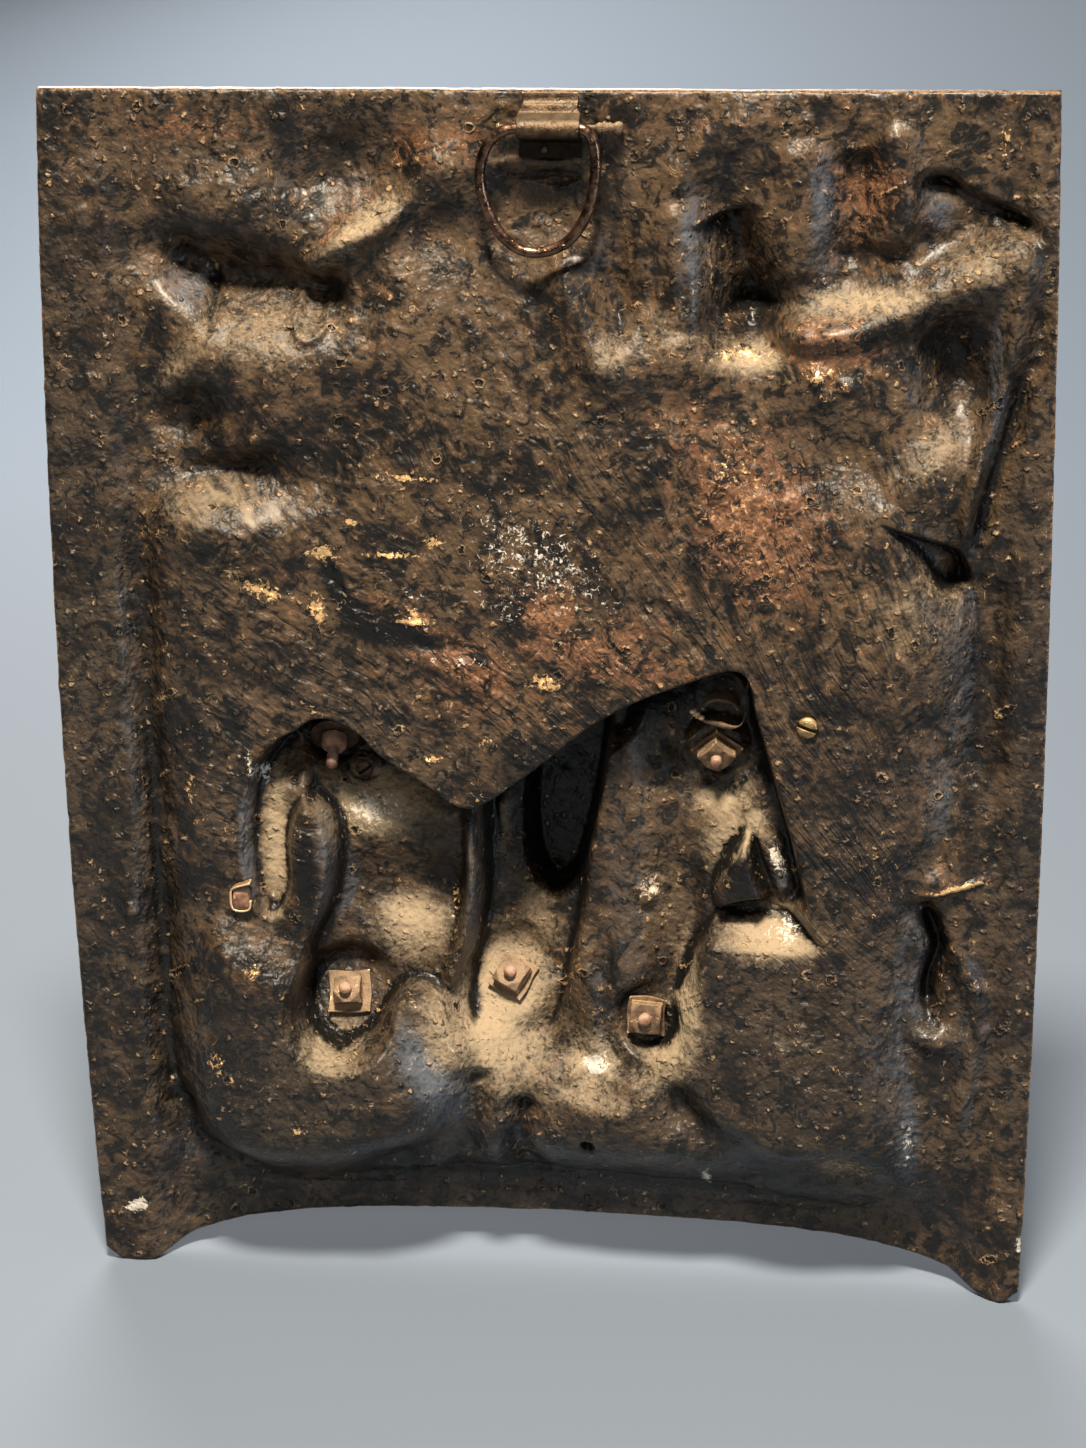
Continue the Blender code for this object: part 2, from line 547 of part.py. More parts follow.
def make_square_fixing(panel, name, row, tan, iron):
    """Stud through the casting, with a square washer and a square nut."""
    x, z, depth, slope, turn, washer, nut, height, radius = row
    frame = seat_matrix(x, z, depth, slope, turn)
    nut_low = 2 * GAP + WASHER_SHEET
    nut_top = nut_low + height
    stud_top = nut_top + STUD_BEYOND_NUT
    clear = radius + GAP
    stud = [(0, stud_top), (radius * 0.6, stud_top - 0.2), (radius, stud_top - 1.0),
            (radius, -HEAD_SEAT - GAP), (HEAD_RADIUS, -HEAD_SEAT - GAP),
            (HEAD_RADIUS * 0.8, -HEAD_SEAT - 2.2), (0, -HEAD_SEAT - 3.2)]
    turned(name + "_stud", stud, iron, frame, 12)
    plate = block(name + "_washer", washer, washer, GAP, GAP + WASHER_SHEET, 0.4, tan, frame)
    square = block(name + "_nut", nut, nut, nut_low, nut_top, 0.7, tan, frame)
    hole = [(0, nut_top + 2), (clear, nut_top + 2), (clear, -1), (0, -1)]
    bore = hide(turned(name + "_bore", hole, iron, frame, 12, cutters))
    cut(plate, bore, "hole")
    cut(square, bore, "hole")
    face = [(0, 3.5), (washer * SEAT_SHARE, 3.5), (washer * SEAT_SHARE, 0), (clear, 0), (clear, -HEAD_SEAT),
            (HEAD_RADIUS + 0.5, -HEAD_SEAT), (HEAD_RADIUS + 0.5, -HEAD_SEAT - 12), (0, -HEAD_SEAT - 12)]
    cut(panel, hide(turned(name + "_seat", face, iron, frame, 16, cutters)), name)


def make_flange_bolt(panel, tan, iron):
    """Round-flanged bolt that points down and out, on a large round washer."""
    frame = seat_matrix(*FLANGE_BOLT)
    radius = 2.1
    low = 2 * GAP + 1.3
    bolt = [(0, 15.0), (1.5, 14.7), (radius, 13.6), (radius, low + 4.6), (3.9, low + 4.4),
            (FLANGE_RADIUS, low + 3.4), (FLANGE_RADIUS, low), (radius, low), (radius, -HEAD_SEAT - GAP),
            (HEAD_RADIUS, -HEAD_SEAT - GAP), (HEAD_RADIUS * 0.8, -HEAD_SEAT - 2.2), (0, -HEAD_SEAT - 3.2)]
    turned("upper_left_bolt", bolt, iron, frame, 14)
    clear = radius + GAP
    ring = [(clear, GAP + 1.3), (FLANGE_WASHER_RADIUS, GAP + 1.3), (FLANGE_WASHER_RADIUS, GAP),
            (clear, GAP), (clear, GAP + 1.3)]
    turned("upper_left_washer", ring, tan, frame, 20)
    rim = FLANGE_WASHER_RADIUS + 0.8
    face = [(0, 3.0), (rim, 3.0), (rim, 0), (clear, 0), (clear, -HEAD_SEAT),
            (HEAD_RADIUS + 0.5, -HEAD_SEAT), (HEAD_RADIUS + 0.5, -HEAD_SEAT - 12), (0, -HEAD_SEAT - 12)]
    cut(panel, hide(turned("upper_left_seat", face, iron, frame, 16, cutters)), "upper left")


def make_screw(panel, name, row, look):
    """Slotted screw with a low round head."""
    x, z, depth, slope, radius, turn = row
    frame = seat_matrix(x, z, depth, slope, turn)
    shank = radius * 0.42
    head = [(0, 2.3), (radius * 0.6, 2.2), (radius, 1.5), (radius, GAP), (shank, GAP), (shank, -WALL - 1.5),
            (0, -WALL - 2.2)]
    screw = turned(name, head, look, frame, 14)
    slot = block(name + "_slot", radius * 3, 1.1, 1.2, 4.0, 0.05, look, frame)
    plaque.objects.unlink(slot)
    cutters.objects.link(slot)
    cut(screw, hide(slot), "slot")
    clear = shank + GAP
    face = [(0, 3.0), (radius + 0.8, 3.0), (radius + 0.8, 0), (clear, 0), (clear, -THROUGH),
            (0, -THROUGH)]
    cut(panel, hide(turned(name + "_seat", face, look, frame, 12, cutters)), name)


def make_bent_strip(panel, tan, iron):
    """Arched strip above the upper right nut, with a wire hooked over its ends."""
    frame = seat_matrix(*BENT_STRIP)
    outer, inner = STRIP_RADIUS - 0.4, STRIP_RADIUS - 1.6
    angles = [radians(26 + 12.8 * i) for i in range(11)]
    arch = [(outer * cos(t), outer * sin(t)) for t in angles]
    arch += [(inner * cos(t), inner * sin(t)) for t in reversed(angles)]
    lift = Matrix.Translation((0, 0, (GAP + STRIP_REACH / 2) * MM))
    sheet("bent_strip", [arch], STRIP_REACH / 2, iron, frame @ lift)
    raised = Matrix.Translation((0, STRIP_SEAT_RISE * MM, 0))
    face = block("strip_seat", 2 * STRIP_RADIUS, 6.8, 0, 14.0, 0.05, iron, frame @ raised)
    plaque.objects.unlink(face)
    cutters.objects.link(face)
    cut(panel, hide(face), "strip")
    top = STRIP_REACH + 2 * GAP + 0.7
    hook = [(-8.9, 3.6, top - 5.3), (-9.0, 3.4, top - 1.8), (-8.2, 2.0, top + 0.9),
            (-5.6, 0.2, top + 1.9), (0, -0.9, top + 2.3), (4.6, -2.0, top + 2.0), (7.6, -1.2, top + 1.1),
            (8.9, 1.8, top - 1.5), (9.0, 3.4, top - 4.9)]
    tube("tie_wire", [frame @ (Vector(p) * MM) for p in curve(hook, steps=2)], 0.7, tan, resolution=1)


def make_clip(panel, tan, iron):
    """Small open clip beside the left arm, round a riveted end."""
    frame = seat_matrix(*CLIP)
    angles = [radians(55 + 25 * i) for i in range(11)]
    band = [(4.7 * cos(t), 5.6 * sin(t)) for t in angles]
    band += [(3.6 * cos(t), 4.5 * sin(t)) for t in reversed(angles)]
    lift = Matrix.Translation((0, 0, 2.1 * MM))
    sheet("clip", [band], 1.6, tan, frame @ lift)
    end = [(0, 4.2), (1.6, 3.9), (2.7, 2.8), (2.9, 0.5), (1.4, 0.5), (1.4, -WALL - 1.2), (0, -WALL - 1.6)]
    turned("clip_rivet", end, iron, frame, 12)
    hole = [(0, 8), (1.4 + GAP, 8), (1.4 + GAP, -THROUGH), (0, -THROUGH)]
    cut(panel, hide(turned("clip_hole", hole, iron, frame, 12, cutters)), "clip")


# ---------------------------------------------------------------- the plaque
for old in list(bpy.data.objects):
    bpy.data.objects.remove(old, do_unlink=True)
plaque = bpy.data.collections.new("relief_plaque")
cutters = bpy.data.collections.new("cutters")
bpy.context.scene.collection.children.link(plaque)
bpy.context.scene.collection.children.link(cutters)

dark_metal = metal("dark_patina", (0.055, 0.042, 0.032), 0.55, 0.6)
brass_strap = metal("worn_brass", (0.30, 0.21, 0.12), 0.45)
copper_ring = metal("copper_brown", (0.28, 0.13, 0.07), 0.30)
rusty_iron = metal("rusty_iron", (0.24, 0.12, 0.07), 0.65, 0.7)
tan_plate = metal("tan_plate", (0.42, 0.31, 0.20), 0.55, 0.7)
bright_brass = metal("bright_brass", (0.60, 0.42, 0.20), 0.35)

panel = make_panel(dark_metal)
make_hanger(brass_strap, copper_ring, rusty_iron)
for fixing, values in SQUARE_FIXINGS.items():
    make_square_fixing(panel, fixing, values, tan_plate, rusty_iron)
make_flange_bolt(panel, tan_plate, rusty_iron)
for screw_name, values in SCREWS.items():
    make_screw(panel, screw_name, values, bright_brass)
make_bent_strip(panel, tan_plate, rusty_iron)
make_clip(panel, tan_plate, rusty_iron)
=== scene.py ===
# %% [markdown]
# # A cast relief plaque, seen from its back
#
# The plaque is one heavy casting. Figures stand out on its front, so the back shows them as
# hollows and swellings under old dark paint, rust and dust. Square nuts, a flanged bolt and
# screws hold it, and it hangs on a wire ring in a folded strap.
#
# The imported solids come first, as a fixed frame that is never moved. The script builds finer
# pieces over them and gives every surface its finish.

# %% Load the frame
from math import atan2, cos, pi, radians, sin

import bmesh
import bpy
import numpy as np
from mathutils import Matrix, Vector

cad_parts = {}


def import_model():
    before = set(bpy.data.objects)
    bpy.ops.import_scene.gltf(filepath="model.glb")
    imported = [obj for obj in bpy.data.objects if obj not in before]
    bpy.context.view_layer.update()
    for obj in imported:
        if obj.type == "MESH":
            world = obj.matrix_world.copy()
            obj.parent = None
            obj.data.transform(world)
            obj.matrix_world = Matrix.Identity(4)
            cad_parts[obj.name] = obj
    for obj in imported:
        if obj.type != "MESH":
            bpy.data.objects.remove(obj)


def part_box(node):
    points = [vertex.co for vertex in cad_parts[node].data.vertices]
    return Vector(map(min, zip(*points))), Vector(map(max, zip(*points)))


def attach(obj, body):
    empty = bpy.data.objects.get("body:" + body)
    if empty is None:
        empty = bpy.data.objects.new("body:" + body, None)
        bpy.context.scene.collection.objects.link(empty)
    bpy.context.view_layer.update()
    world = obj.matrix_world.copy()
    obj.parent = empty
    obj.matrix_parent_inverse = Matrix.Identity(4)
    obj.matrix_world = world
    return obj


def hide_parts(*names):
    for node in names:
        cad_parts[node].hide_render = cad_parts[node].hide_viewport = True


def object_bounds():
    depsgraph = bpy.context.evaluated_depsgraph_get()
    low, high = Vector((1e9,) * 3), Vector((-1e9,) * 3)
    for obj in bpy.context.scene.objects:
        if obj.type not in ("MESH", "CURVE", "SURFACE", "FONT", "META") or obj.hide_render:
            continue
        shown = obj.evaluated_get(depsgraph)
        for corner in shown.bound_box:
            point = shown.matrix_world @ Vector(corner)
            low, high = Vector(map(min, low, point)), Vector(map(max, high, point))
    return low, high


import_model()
cad_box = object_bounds()
MM = 0.001

# %% [markdown]
# ## Camera, floor and light
#
# The relief only reads when the light rakes over it. A warm light high in front leaves the
# undersides dark, and a cool one from the right edges every slope that faces it. A weak low
# one opens the shade a little, and one behind lights the plaque's other side. The camera
# stands a little above the top edge and looks down at the plaque, slightly from the right. It
# is placed from the middle of the top edge.

# %% Camera
panel_low, panel_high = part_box("relief_panel")
print("panel's top edge at", round(panel_high.z, 4), "m, its back at", round(panel_low.y, 4), "m")
CAMERA_FROM_TOP = Vector((0.1446, -1.0778, 0.1423))
CAMERA_DOWN, CAMERA_LEFT, CAMERA_ROLL = 18.395, -7.712, -0.802
CAMERA_LENS = 81.55                  # millimetres, for a frame 36 millimetres high

HINGE_DROP = 11.6                    # millimetres from the top edge down to the hinge line
HINGE_PROUD = 6.8                    # and from the rim out to it


def world(x, depth, z):
    """Relief millimetres to metres: x and z from the middle of the top edge, depth from the rim."""
    return Vector((x, depth + HINGE_PROUD, z + HINGE_DROP)) * MM


def look_along(down, left, roll):
    """Turn of a camera that looks along +Y, then down, left and rolled by some degrees."""
    return (Matrix.Rotation(radians(-left), 3, "Z") @ Matrix.Rotation(radians(90 - down), 3, "X")
            @ Matrix.Rotation(radians(roll), 3, "Z"))


camera_data = bpy.data.cameras.new("camera")
camera_data.sensor_fit = "VERTICAL"
camera_data.sensor_height = 36
camera_data.lens = CAMERA_LENS
camera = bpy.data.objects.new("camera", camera_data)
camera.matrix_world = Matrix.Translation(world(0, 0, 0) + CAMERA_FROM_TOP) @ look_along(
    CAMERA_DOWN, CAMERA_LEFT, CAMERA_ROLL).to_4x4()
bpy.context.scene.collection.objects.link(camera)
bpy.context.scene.camera = camera
print("camera at", [round(v, 3) for v in camera.matrix_world.translation])


# %% Floor
def plain_material(name, colour, roughness):
    """Material of one colour."""
    material = bpy.data.materials.new(name)
    material.use_nodes = True
    shader = material.node_tree.nodes["Principled BSDF"]
    shader.inputs["Base Color"].default_value = (*colour, 1)
    shader.inputs["Roughness"].default_value = roughness
    return material


def polyline(bm, points):
    """Vertices through some points, and the edges that join them."""
    verts = [bm.verts.new(point) for point in points]
    return verts, [bm.edges.new(pair) for pair in zip(verts[:-1], verts[1:])]


def pulled(bm, edges, step, times):
    """Extrude a row of edges into a sheet, again and again by the same step."""
    for _ in range(times):
        made = bmesh.ops.extrude_edge_only(bm, edges=edges)["geom"]
        moved = [g for g in made if isinstance(g, bmesh.types.BMVert)]
        edges = [g for g in made if isinstance(g, bmesh.types.BMEdge)
                 and all(v in moved for v in g.verts)]
        bmesh.ops.translate(bm, vec=step, verts=moved)
    bmesh.ops.recalc_face_normals(bm, faces=bm.faces)


floor_level = cad_box[0][2]
FLOOR_REACH = 5.0                    # metres to the left, to the right and to the front
SWEEP_START, SWEEP_RADIUS, SWEEP_STEPS, WALL_TOP = 1.3, 0.9, 12, 4.0
sweep = [(-FLOOR_REACH, 0.0), (SWEEP_START, 0.0)]
for step in range(1, SWEEP_STEPS + 1):
    turn = radians(90 * step / SWEEP_STEPS)
    sweep.append((SWEEP_START + SWEEP_RADIUS * sin(turn), SWEEP_RADIUS * (1 - cos(turn))))
sweep.append((SWEEP_START + SWEEP_RADIUS, WALL_TOP))
floor_mesh = bpy.data.meshes.new("floor")
bm = bmesh.new()
_, edges = polyline(bm, [(-FLOOR_REACH, depth, floor_level + height) for depth, height in sweep])
pulled(bm, edges, (2 * FLOOR_REACH, 0, 0), 1)
bm.to_mesh(floor_mesh)
bm.free()
floor_mesh.shade_smooth()
floor = bpy.data.objects.new("floor", floor_mesh)
bpy.context.scene.collection.objects.link(floor)
floor_mesh.materials.append(plain_material("pale_floor", (0.135, 0.170, 0.220), 0.8))
print("floor at", round(floor_level, 4))


# %% Lights
def area_light(name, place, target, size, watts, colour):
    """Round soft light that faces a target."""
    data = bpy.data.lights.new(name, "AREA")
    data.shape = "DISK"
    data.size = size
    data.energy = watts
    data.color = colour
    light = bpy.data.objects.new(name, data)
    light.location = place
    light.rotation_euler = (Vector(target) - Vector(place)).to_track_quat("-Z", "Y").to_euler()
    bpy.context.scene.collection.objects.link(light)


middle = Vector((0, 0, -0.21))
LIGHTS = [  # name, place from the plaque's middle, size, watts, colour
    ("key", (0.05, -0.80, 1.55), 0.32, 96, (1.0, 0.87, 0.70)),
    ("low_front", (-0.3, -2.0, 0.95), 0.5, 6, (1.0, 0.89, 0.74)),
    ("cool_side", (1.6, -0.80, 0.20), 0.7, 8, (0.74, 0.86, 1.0)),
    ("behind", (-0.5, 1.7, 0.8), 1.2, 42, (1.0, 0.95, 0.88))]
for name, offset, size, watts, colour in LIGHTS:
    area_light(name, middle + Vector(offset), middle, size, watts, colour)
backdrop = bpy.data.worlds.new("studio")
backdrop.use_nodes = True
backdrop.node_tree.nodes["Background"].inputs["Color"].default_value = (0.62, 0.68, 0.78, 1)
backdrop.node_tree.nodes["Background"].inputs["Strength"].default_value = 0.045
bpy.context.scene.world = backdrop
bpy.context.scene.view_settings.view_transform = "Standard"
print("soft lights:", len(LIGHTS), "and a dim sky")

# %% [markdown]
# ## The relief as a height field
#
# Seen from behind, the casting is a sheet pushed in and out: every point has one depth. So the
# shape can be written as a function of x and z, in millimetres, and a fine grid follows it.
# Broad forms come from a few named outlines, the same as in the solids, and each later layer
# adds something smaller: swellings, ridges, brush marks, pits.

# %% Soft steps, curves and distances
def soft(t):
    """Soft step from 0 to 1."""
    t = np.clip(t, 0.0, 1.0)
    return t * t * (3.0 - 2.0 * t)


def curve(points, closed=False, steps=5):
    """Smooth path through a few points."""
    p = np.array(points, float)
    if closed:
        p = np.vstack([p[-1], p, p[0], p[1]])
    else:
        p = np.vstack([2 * p[0] - p[1], p, 2 * p[-1] - p[-2]])
    path = []
    for a, b, c, d in zip(p[:-3], p[1:-2], p[2:-1], p[3:]):
        for t in np.arange(steps) / steps:
            path.append(0.5 * (2 * b + (c - a) * t + (2 * a - 5 * b + 4 * c - d) * t ** 2
                               + (3 * b - a - 3 * c + d) * t ** 3))
    if not closed:
        path.append(p[-2])
    return np.array(path)


def nearest(x, z, path, closed=False):
    """Distance to a path, and how far along it (0 to 1) the nearest point lies."""
    ends = np.vstack([path, path[:1]]) if closed else path
    best = np.full(x.shape, 1e9)
    along = np.zeros(x.shape)
    count = len(ends) - 1
    for i in range(count):
        (ax, az), (bx, bz) = ends[i], ends[i + 1]
        dx, dz = bx - ax, bz - az
        t = np.clip(((x - ax) * dx + (z - az) * dz) / (dx * dx + dz * dz), 0, 1)
        d = np.hypot(x - ax - t * dx, z - az - t * dz)
        near = d < best
        best = np.where(near, d, best)
        along = np.where(near, (i + t) / count, along)
    return best, along


def around(x, z, path, margin):
    """Which points lie near enough to a path's box to feel it."""
    low, high = path.min(axis=0) - margin, path.max(axis=0) + margin
    return (x > low[0]) & (x < high[0]) & (z > low[1]) & (z < high[1])


def inward(x, z, outline):
    """Distance to a closed outline, positive inside and negative outside."""
    path = curve(outline, closed=True)
    result = np.full(x.shape, -99.0)
    here = around(x, z, path, 6.0)
    px, pz = x[here], z[here]
    dist, _ = nearest(px, pz, path, closed=True)
    inside = np.zeros(px.shape, bool)
    for (ax, az), (bx, bz) in zip(path, np.roll(path, -1, axis=0)):
        if az != bz:
            inside ^= ((az > pz) != (bz > pz)) & (px < (bx - ax) * (pz - az) / (bz - az) + ax)
    result[here] = np.where(inside, dist, -dist)
    return result


def ridge(x, z, points, widths, depth, fade):
    """Soft ridge or groove along a path, fading at its ends."""
    path = curve(points)
    result = np.zeros(x.shape)
    here = around(x, z, path, 2.7 * max(widths))
    d, along = nearest(x[here], z[here], path)
    width = widths[0] + (widths[1] - widths[0]) * along
    ends = soft(along / fade) * soft((1 - along) / fade)
    result[here] = depth * (0.35 + 0.65 * ends) * np.exp(-(d / width) ** 2)
    return result


def mound(x, z, middle_x, middle_z, half_width, half_height, depth, turn=0, squareness=1):
    """Rounded swelling or dip."""
    c, s = cos(radians(turn)), sin(radians(turn))
    u = ((x - middle_x) * c + (z - middle_z) * s) / half_width
    v = (-(x - middle_x) * s + (z - middle_z) * c) / half_height
    return depth * np.exp(-(u * u + v * v) ** squareness)


def levels(z, knots):
    """Level that passes softly through a few (z, depth) knots, from top to bottom."""
    out = np.full(np.shape(z), float(knots[0][1]))
    for (za, ya), (zb, yb) in zip(knots[:-1], knots[1:]):
        out = out + (yb - ya) * soft((za - z) / (za - zb))
    return out


def sink(y, x, z, outline, run, floor):
    """Take the surface to another floor inside an outline, over a run of slope."""
    return y + soft(inward(x, z, outline) / run) * (floor - y)


print("soft step half way:", soft(0.5))

# %% [markdown]
# ### Outlines and tables of the relief
#
# These are the plaque's own drawing. An outline is a few points that a smooth curve joins. A
# mound is an oval swelling or dip, and a ridge follows a line. Minus is towards the viewer.

# %% Sizes and outlines
PANEL_WIDTH = 340.0
PANEL_HEIGHT = 436.6
WALL = 4.4                           # thickness of the cast sheet
RIM_THICKNESS = 6.6
SIDE_BOW = 5.0
FIELD = 3.0                          # the field lies this far behind the flat rim
PILLOW_RISE = 8.0                    # the broad middle swells back towards the rim's level
ARCH_DEPTH = 26.0                    # the lower edge stands back from the rim
ARCH_RISE = 14.0                     # and rises between its two feet

PILLOW = [(-140, -152), (-128, -135), (-104, -130), (-82, -112), (-60, -76), (0, -58), (48, -76),
          (84, -104), (108, -126), (128, -143), (141, -160), (148, -178), (147, -191), (141, -206),
          (136, -220), (140, -236), (141, -248), (138, -262), (131, -276), (127, -300), (126, -330),
          (129, -352), (131, -372), (129, -392), (116, -408), (90, -415), (0, -413), (-90, -412),
          (-120, -404), (-135, -388), (-141, -365), (-140, -260)]
CAVITY = [(-92, -224), (-70, -221), (-59, -231), (-45, -240), (-28, -250), (-11, -240), (0, -231),
          (20, -215), (45, -203), (68, -197), (75, -216), (82, -240), (88, -262), (93, -285),
          (97, -300), (76, -302), (57, -302), (55, -320), (51, -342), (44, -358), (26, -370),
          (4, -375), (-16, -375), (-28, -366), (-34, -350), (-40, -336), (-48, -328), (-58, -331),
          (-68, -341), (-79, -347), (-92, -335),
          (-91, -311), (-84, -292), (-80, -274), (-81, -261), (-87, -254), (-91, -264), (-91, -284),
          (-97, -295), (-105, -293), (-110, -275), (-109, -252), (-104, -236)]
ARM = [(-112, -238), (-98, -226), (-87, -236), (-86, -250), (-89, -266), (-89, -286), (-97, -299),
       (-108, -296), (-114, -276)]
ISLAND = [(70, -258), (75, -272), (79, -285), (69, -288), (58, -290), (57, -278)]
LEFT_TORSO = [(-96, -226), (-80, -221), (-70, -221), (-59, -231), (-45, -240), (-29, -249),
              (-29, -270), (-30, -290), (-36, -308), (-46, -326), (-56, -340), (-78, -343),
              (-90, -330), (-88, -310), (-81, -287), (-76, -266), (-86, -244)]
MIDDLE = [(-27, -250), (-11, -240), (0, -231), (20, -215), (20, -240), (15, -270), (11, -300),
          (7, -322), (2, -342), (-8, -357), (-20, -356), (-32, -344), (-34, -322), (-31, -305),
          (-28, -285)]
VOID = [(-12, -246), (-4, -236), (8, -227), (20, -216), (19, -240), (14, -268), (7, -290),
        (-3, -297), (-11, -288), (-14, -270)]
RIGHT_TORSO = [(24, -226), (30, -211), (45, -203), (68, -197), (75, -216), (80, -240), (72, -250),
               (60, -266), (56, -284), (57, -302), (52, -320), (46, -338), (38, -350), (26, -352),
               (18, -340), (17, -320), (20, -290), (22, -260), (23, -240)]
UNDER_EDGE = [(-24, -250), (0, -232), (20, -215), (45, -203), (68, -197), (73, -211), (50, -221),
              (26, -232), (4, -248), (-18, -262)]
HAM = [(-126, -290), (-138, -330), (-139, -368), (-131, -387), (-117, -400), (-98, -406), (-74, -404),
       (-52, -392), (-37, -374), (-33, -356), (-50, -330), (-90, -300)]
LOWER_BAY = [(-66, -413), (-50, -396), (-38, -374), (-28, -360), (0, -357), (24, -364), (46, -353),
             (70, -374), (90, -396), (72, -412), (0, -416)]
print("outline points:", sum(len(o) for o in (PILLOW, CAVITY, ISLAND, LEFT_TORSO, MIDDLE, VOID,
                                              RIGHT_TORSO, UNDER_EDGE, HAM, LOWER_BAY)))

# %% Swellings, ridges and fixings
# x, z, half width, half height, depth (+ sinks), turn in degrees, squareness
MOUNDS = [(-96, -40, 38, 15, -7, -6, 1), (-68, -29, 24, 15, 9, 34, 1.2),
          (-126, -70, 9, 11, -5, -10, 1), (-94, -95, 33, 24, -11, 14, 1.2),
          (-124, -112, 17, 11, 10, 10, 1), (-98, -118, 15, 9, -4, 10, 1),
          (-109, -133, 24, 8, 6, 0, 1), (-113, -151, 27, 14, -7, 0, 1.2),
          (-53, -70, 19, 18, -5, 0, 1), (-32, -27, 13, 12, -7, 0, 1), (-34, -50, 14, 9, 5, 20, 1),
          (0, -38, 19, 16, 4, 0, 1), (46, -89, 19, 12, -6, -16, 1), (27, -97, 10, 9, -4, 0, 1),
          (70, -76, 12, 11, 13, 0, 1), (129, -42, 9, 8, -4, 0, 1), (133, -31, 6, 4, 5, 0, 1),
          (159, -44, 7, 4.5, 5, -30, 1), (100, -98, 24, 17, -7, -8, 1.3),
          (93, -95, 3.2, 3.2, -1.8, 0, 1), (104, -99, 3.6, 3, -1.8, 0, 1),
          (97, -103, 3, 2.6, -1.6, 0, 1), (139, -95, 11, 20, 12, 0, 1.2),
          (128, -131, 23, 14, -10, 38, 1), (122, -188, 25, 34, -5, 0, 1.3),
          (137, -274, 7, 6, -5, 0, 1), (137, -333, 7, 5, -5, 0, 1), (-20, -384, 9, 18, -4, 0, 1),
          (32, -385, 38, 19, -9, 0, 1.2), (92, -366, 38, 34, -8, 0, 1.2),
          (105, -388, 12, 10, 9, 0, 1)]

# outline, run of its walls, (z, depth) at its top and at its foot
POCKETS = [
    ([(17, -44), (26, -38), (34, -46), (35, -62), (33, -79), (26, -86), (18, -74)],
     9, (-38, 1.0), (-80, 9)),
    ([(124, -26), (136, -27), (147, -33), (161, -38), (164, -44), (154, -51), (141, -56), (128, -58),
      (119, -54), (118, -38)], 9, (-28, 7.5), (-56, 1.5)),
    ([(114, -143), (128, -147), (142, -154), (146, -167), (137, -171), (126, -159)],
     4.5, (-140, 6.0), (-164, 13))]

# points, half width at each end, depth, fade at the ends
RIDGES = [([(-144, -150), (-144, -250), (-144, -385)], (6, 6), 4, 0.1),
          ([(-152, -150), (-152, -250), (-152, -380)], (4.5, 4.5), -1.2, 0.1),
          ([(-133, -56), (-112, -63), (-90, -67), (-64, -70)], (10, 12), 15, 0.15),
          ([(-84, -63), (-66, -53), (-45, -38)], (5, 4.5), -7, 0.15),
          ([(-116, -62), (-114, -71), (-116, -81)], (2.4, 2.4), 4, 0.2),
          ([(-112, -78), (-121, -96), (-138, -110)], (6, 6), -3, 0.2),
          ([(-84, -70), (-85, -78), (-80, -83), (-75, -79), (-74.5, -71)], (1.6, 1.6), -2.8, 0.1),
          ([(7, -56), (14, -76), (25, -98)], (7, 7), -6, 0.15),
          ([(74, -9), (57, -19), (41, -33)], (7, 7), -4.5, 0.2),
          ([(44, -34), (49, -58), (50, -82)], (9, 9), -6, 0.15),
          ([(60, -40), (65, -56), (70, -77)], (8, 11), 14, 0.1),
          ([(104, -18), (104, -38), (103, -60)], (7, 7), 6, 0.15),
          ([(84, -14), (88, -40), (87, -66)], (11, 10), -6, 0.15),
          ([(117, -10), (119, -34), (117, -56)], (9, 8), -6, 0.15),
          ([(130, -30), (140, -35), (150, -38), (162, -45)], (2.4, 3.0), 2.5, 0.1),
          ([(84, -60), (108, -58), (126, -51), (152, -42)], (9, 9), 5, 0.15),
          ([(76, -80), (98, -79), (114, -76), (132, -68), (148, -60), (165, -50)], (4.5, 12), -8, 0.1),
          ([(160, -62), (153, -98), (147, -124), (142, -150)], (3.6, 2.6), -6, 0.1),
          ([(168, -66), (161, -98), (153, -126), (147, -152)], (4, 4), 5, 0.1),
          ([(146, -156), (149, -200), (149, -244)], (8, 8), 6, 0.15),
          ([(134, -284), (137, -300), (134, -312), (136, -326)], (3.2, 3.6), 11, 0.12),
          ([(142, -296), (150, -318), (151, -345), (144, -374)], (4, 4), -4.5, 0.2),
          ([(-142, -366), (-133, -387), (-116, -401)], (7, 7), 9, 0.2),
          ([(-27, -350), (-31, -368), (-44, -387), (-68, -402)], (6, 9), 10, 0.15),
          ([(-10, -362), (-13, -384), (-10, -403)], (5, 6), 8, 0.15),
          ([(40, -352), (62, -374), (104, -398)], (6, 8), 6, 0.15)]
CAVITY_RIDGES = [([(-29, -252), (-29, -285), (-33, -306), (-38, -322)], (2.4, 2.4), -9, 0.1),
                 ([(-39, -316), (-37, -330), (-33, -346), (-29, -362)], (4, 4), -4, 0.2),
                 ([(12, -312), (14, -334), (15, -352)], (6, 5), -7, 0.2),
                 ([(15, -352), (0, -357), (-10, -360)], (4, 4), -3.5, 0.2),
                 ([(15, -352), (26, -357), (38, -360)], (4, 4), -3.5, 0.2),
                 ([(70, -254), (78, -268), (83, -286)], (3.5, 3.5), -5, 0.15),
                 ([(-109, -240), (-111, -262), (-110, -292)], (2.0, 2.0), -1.5, 0.1)]

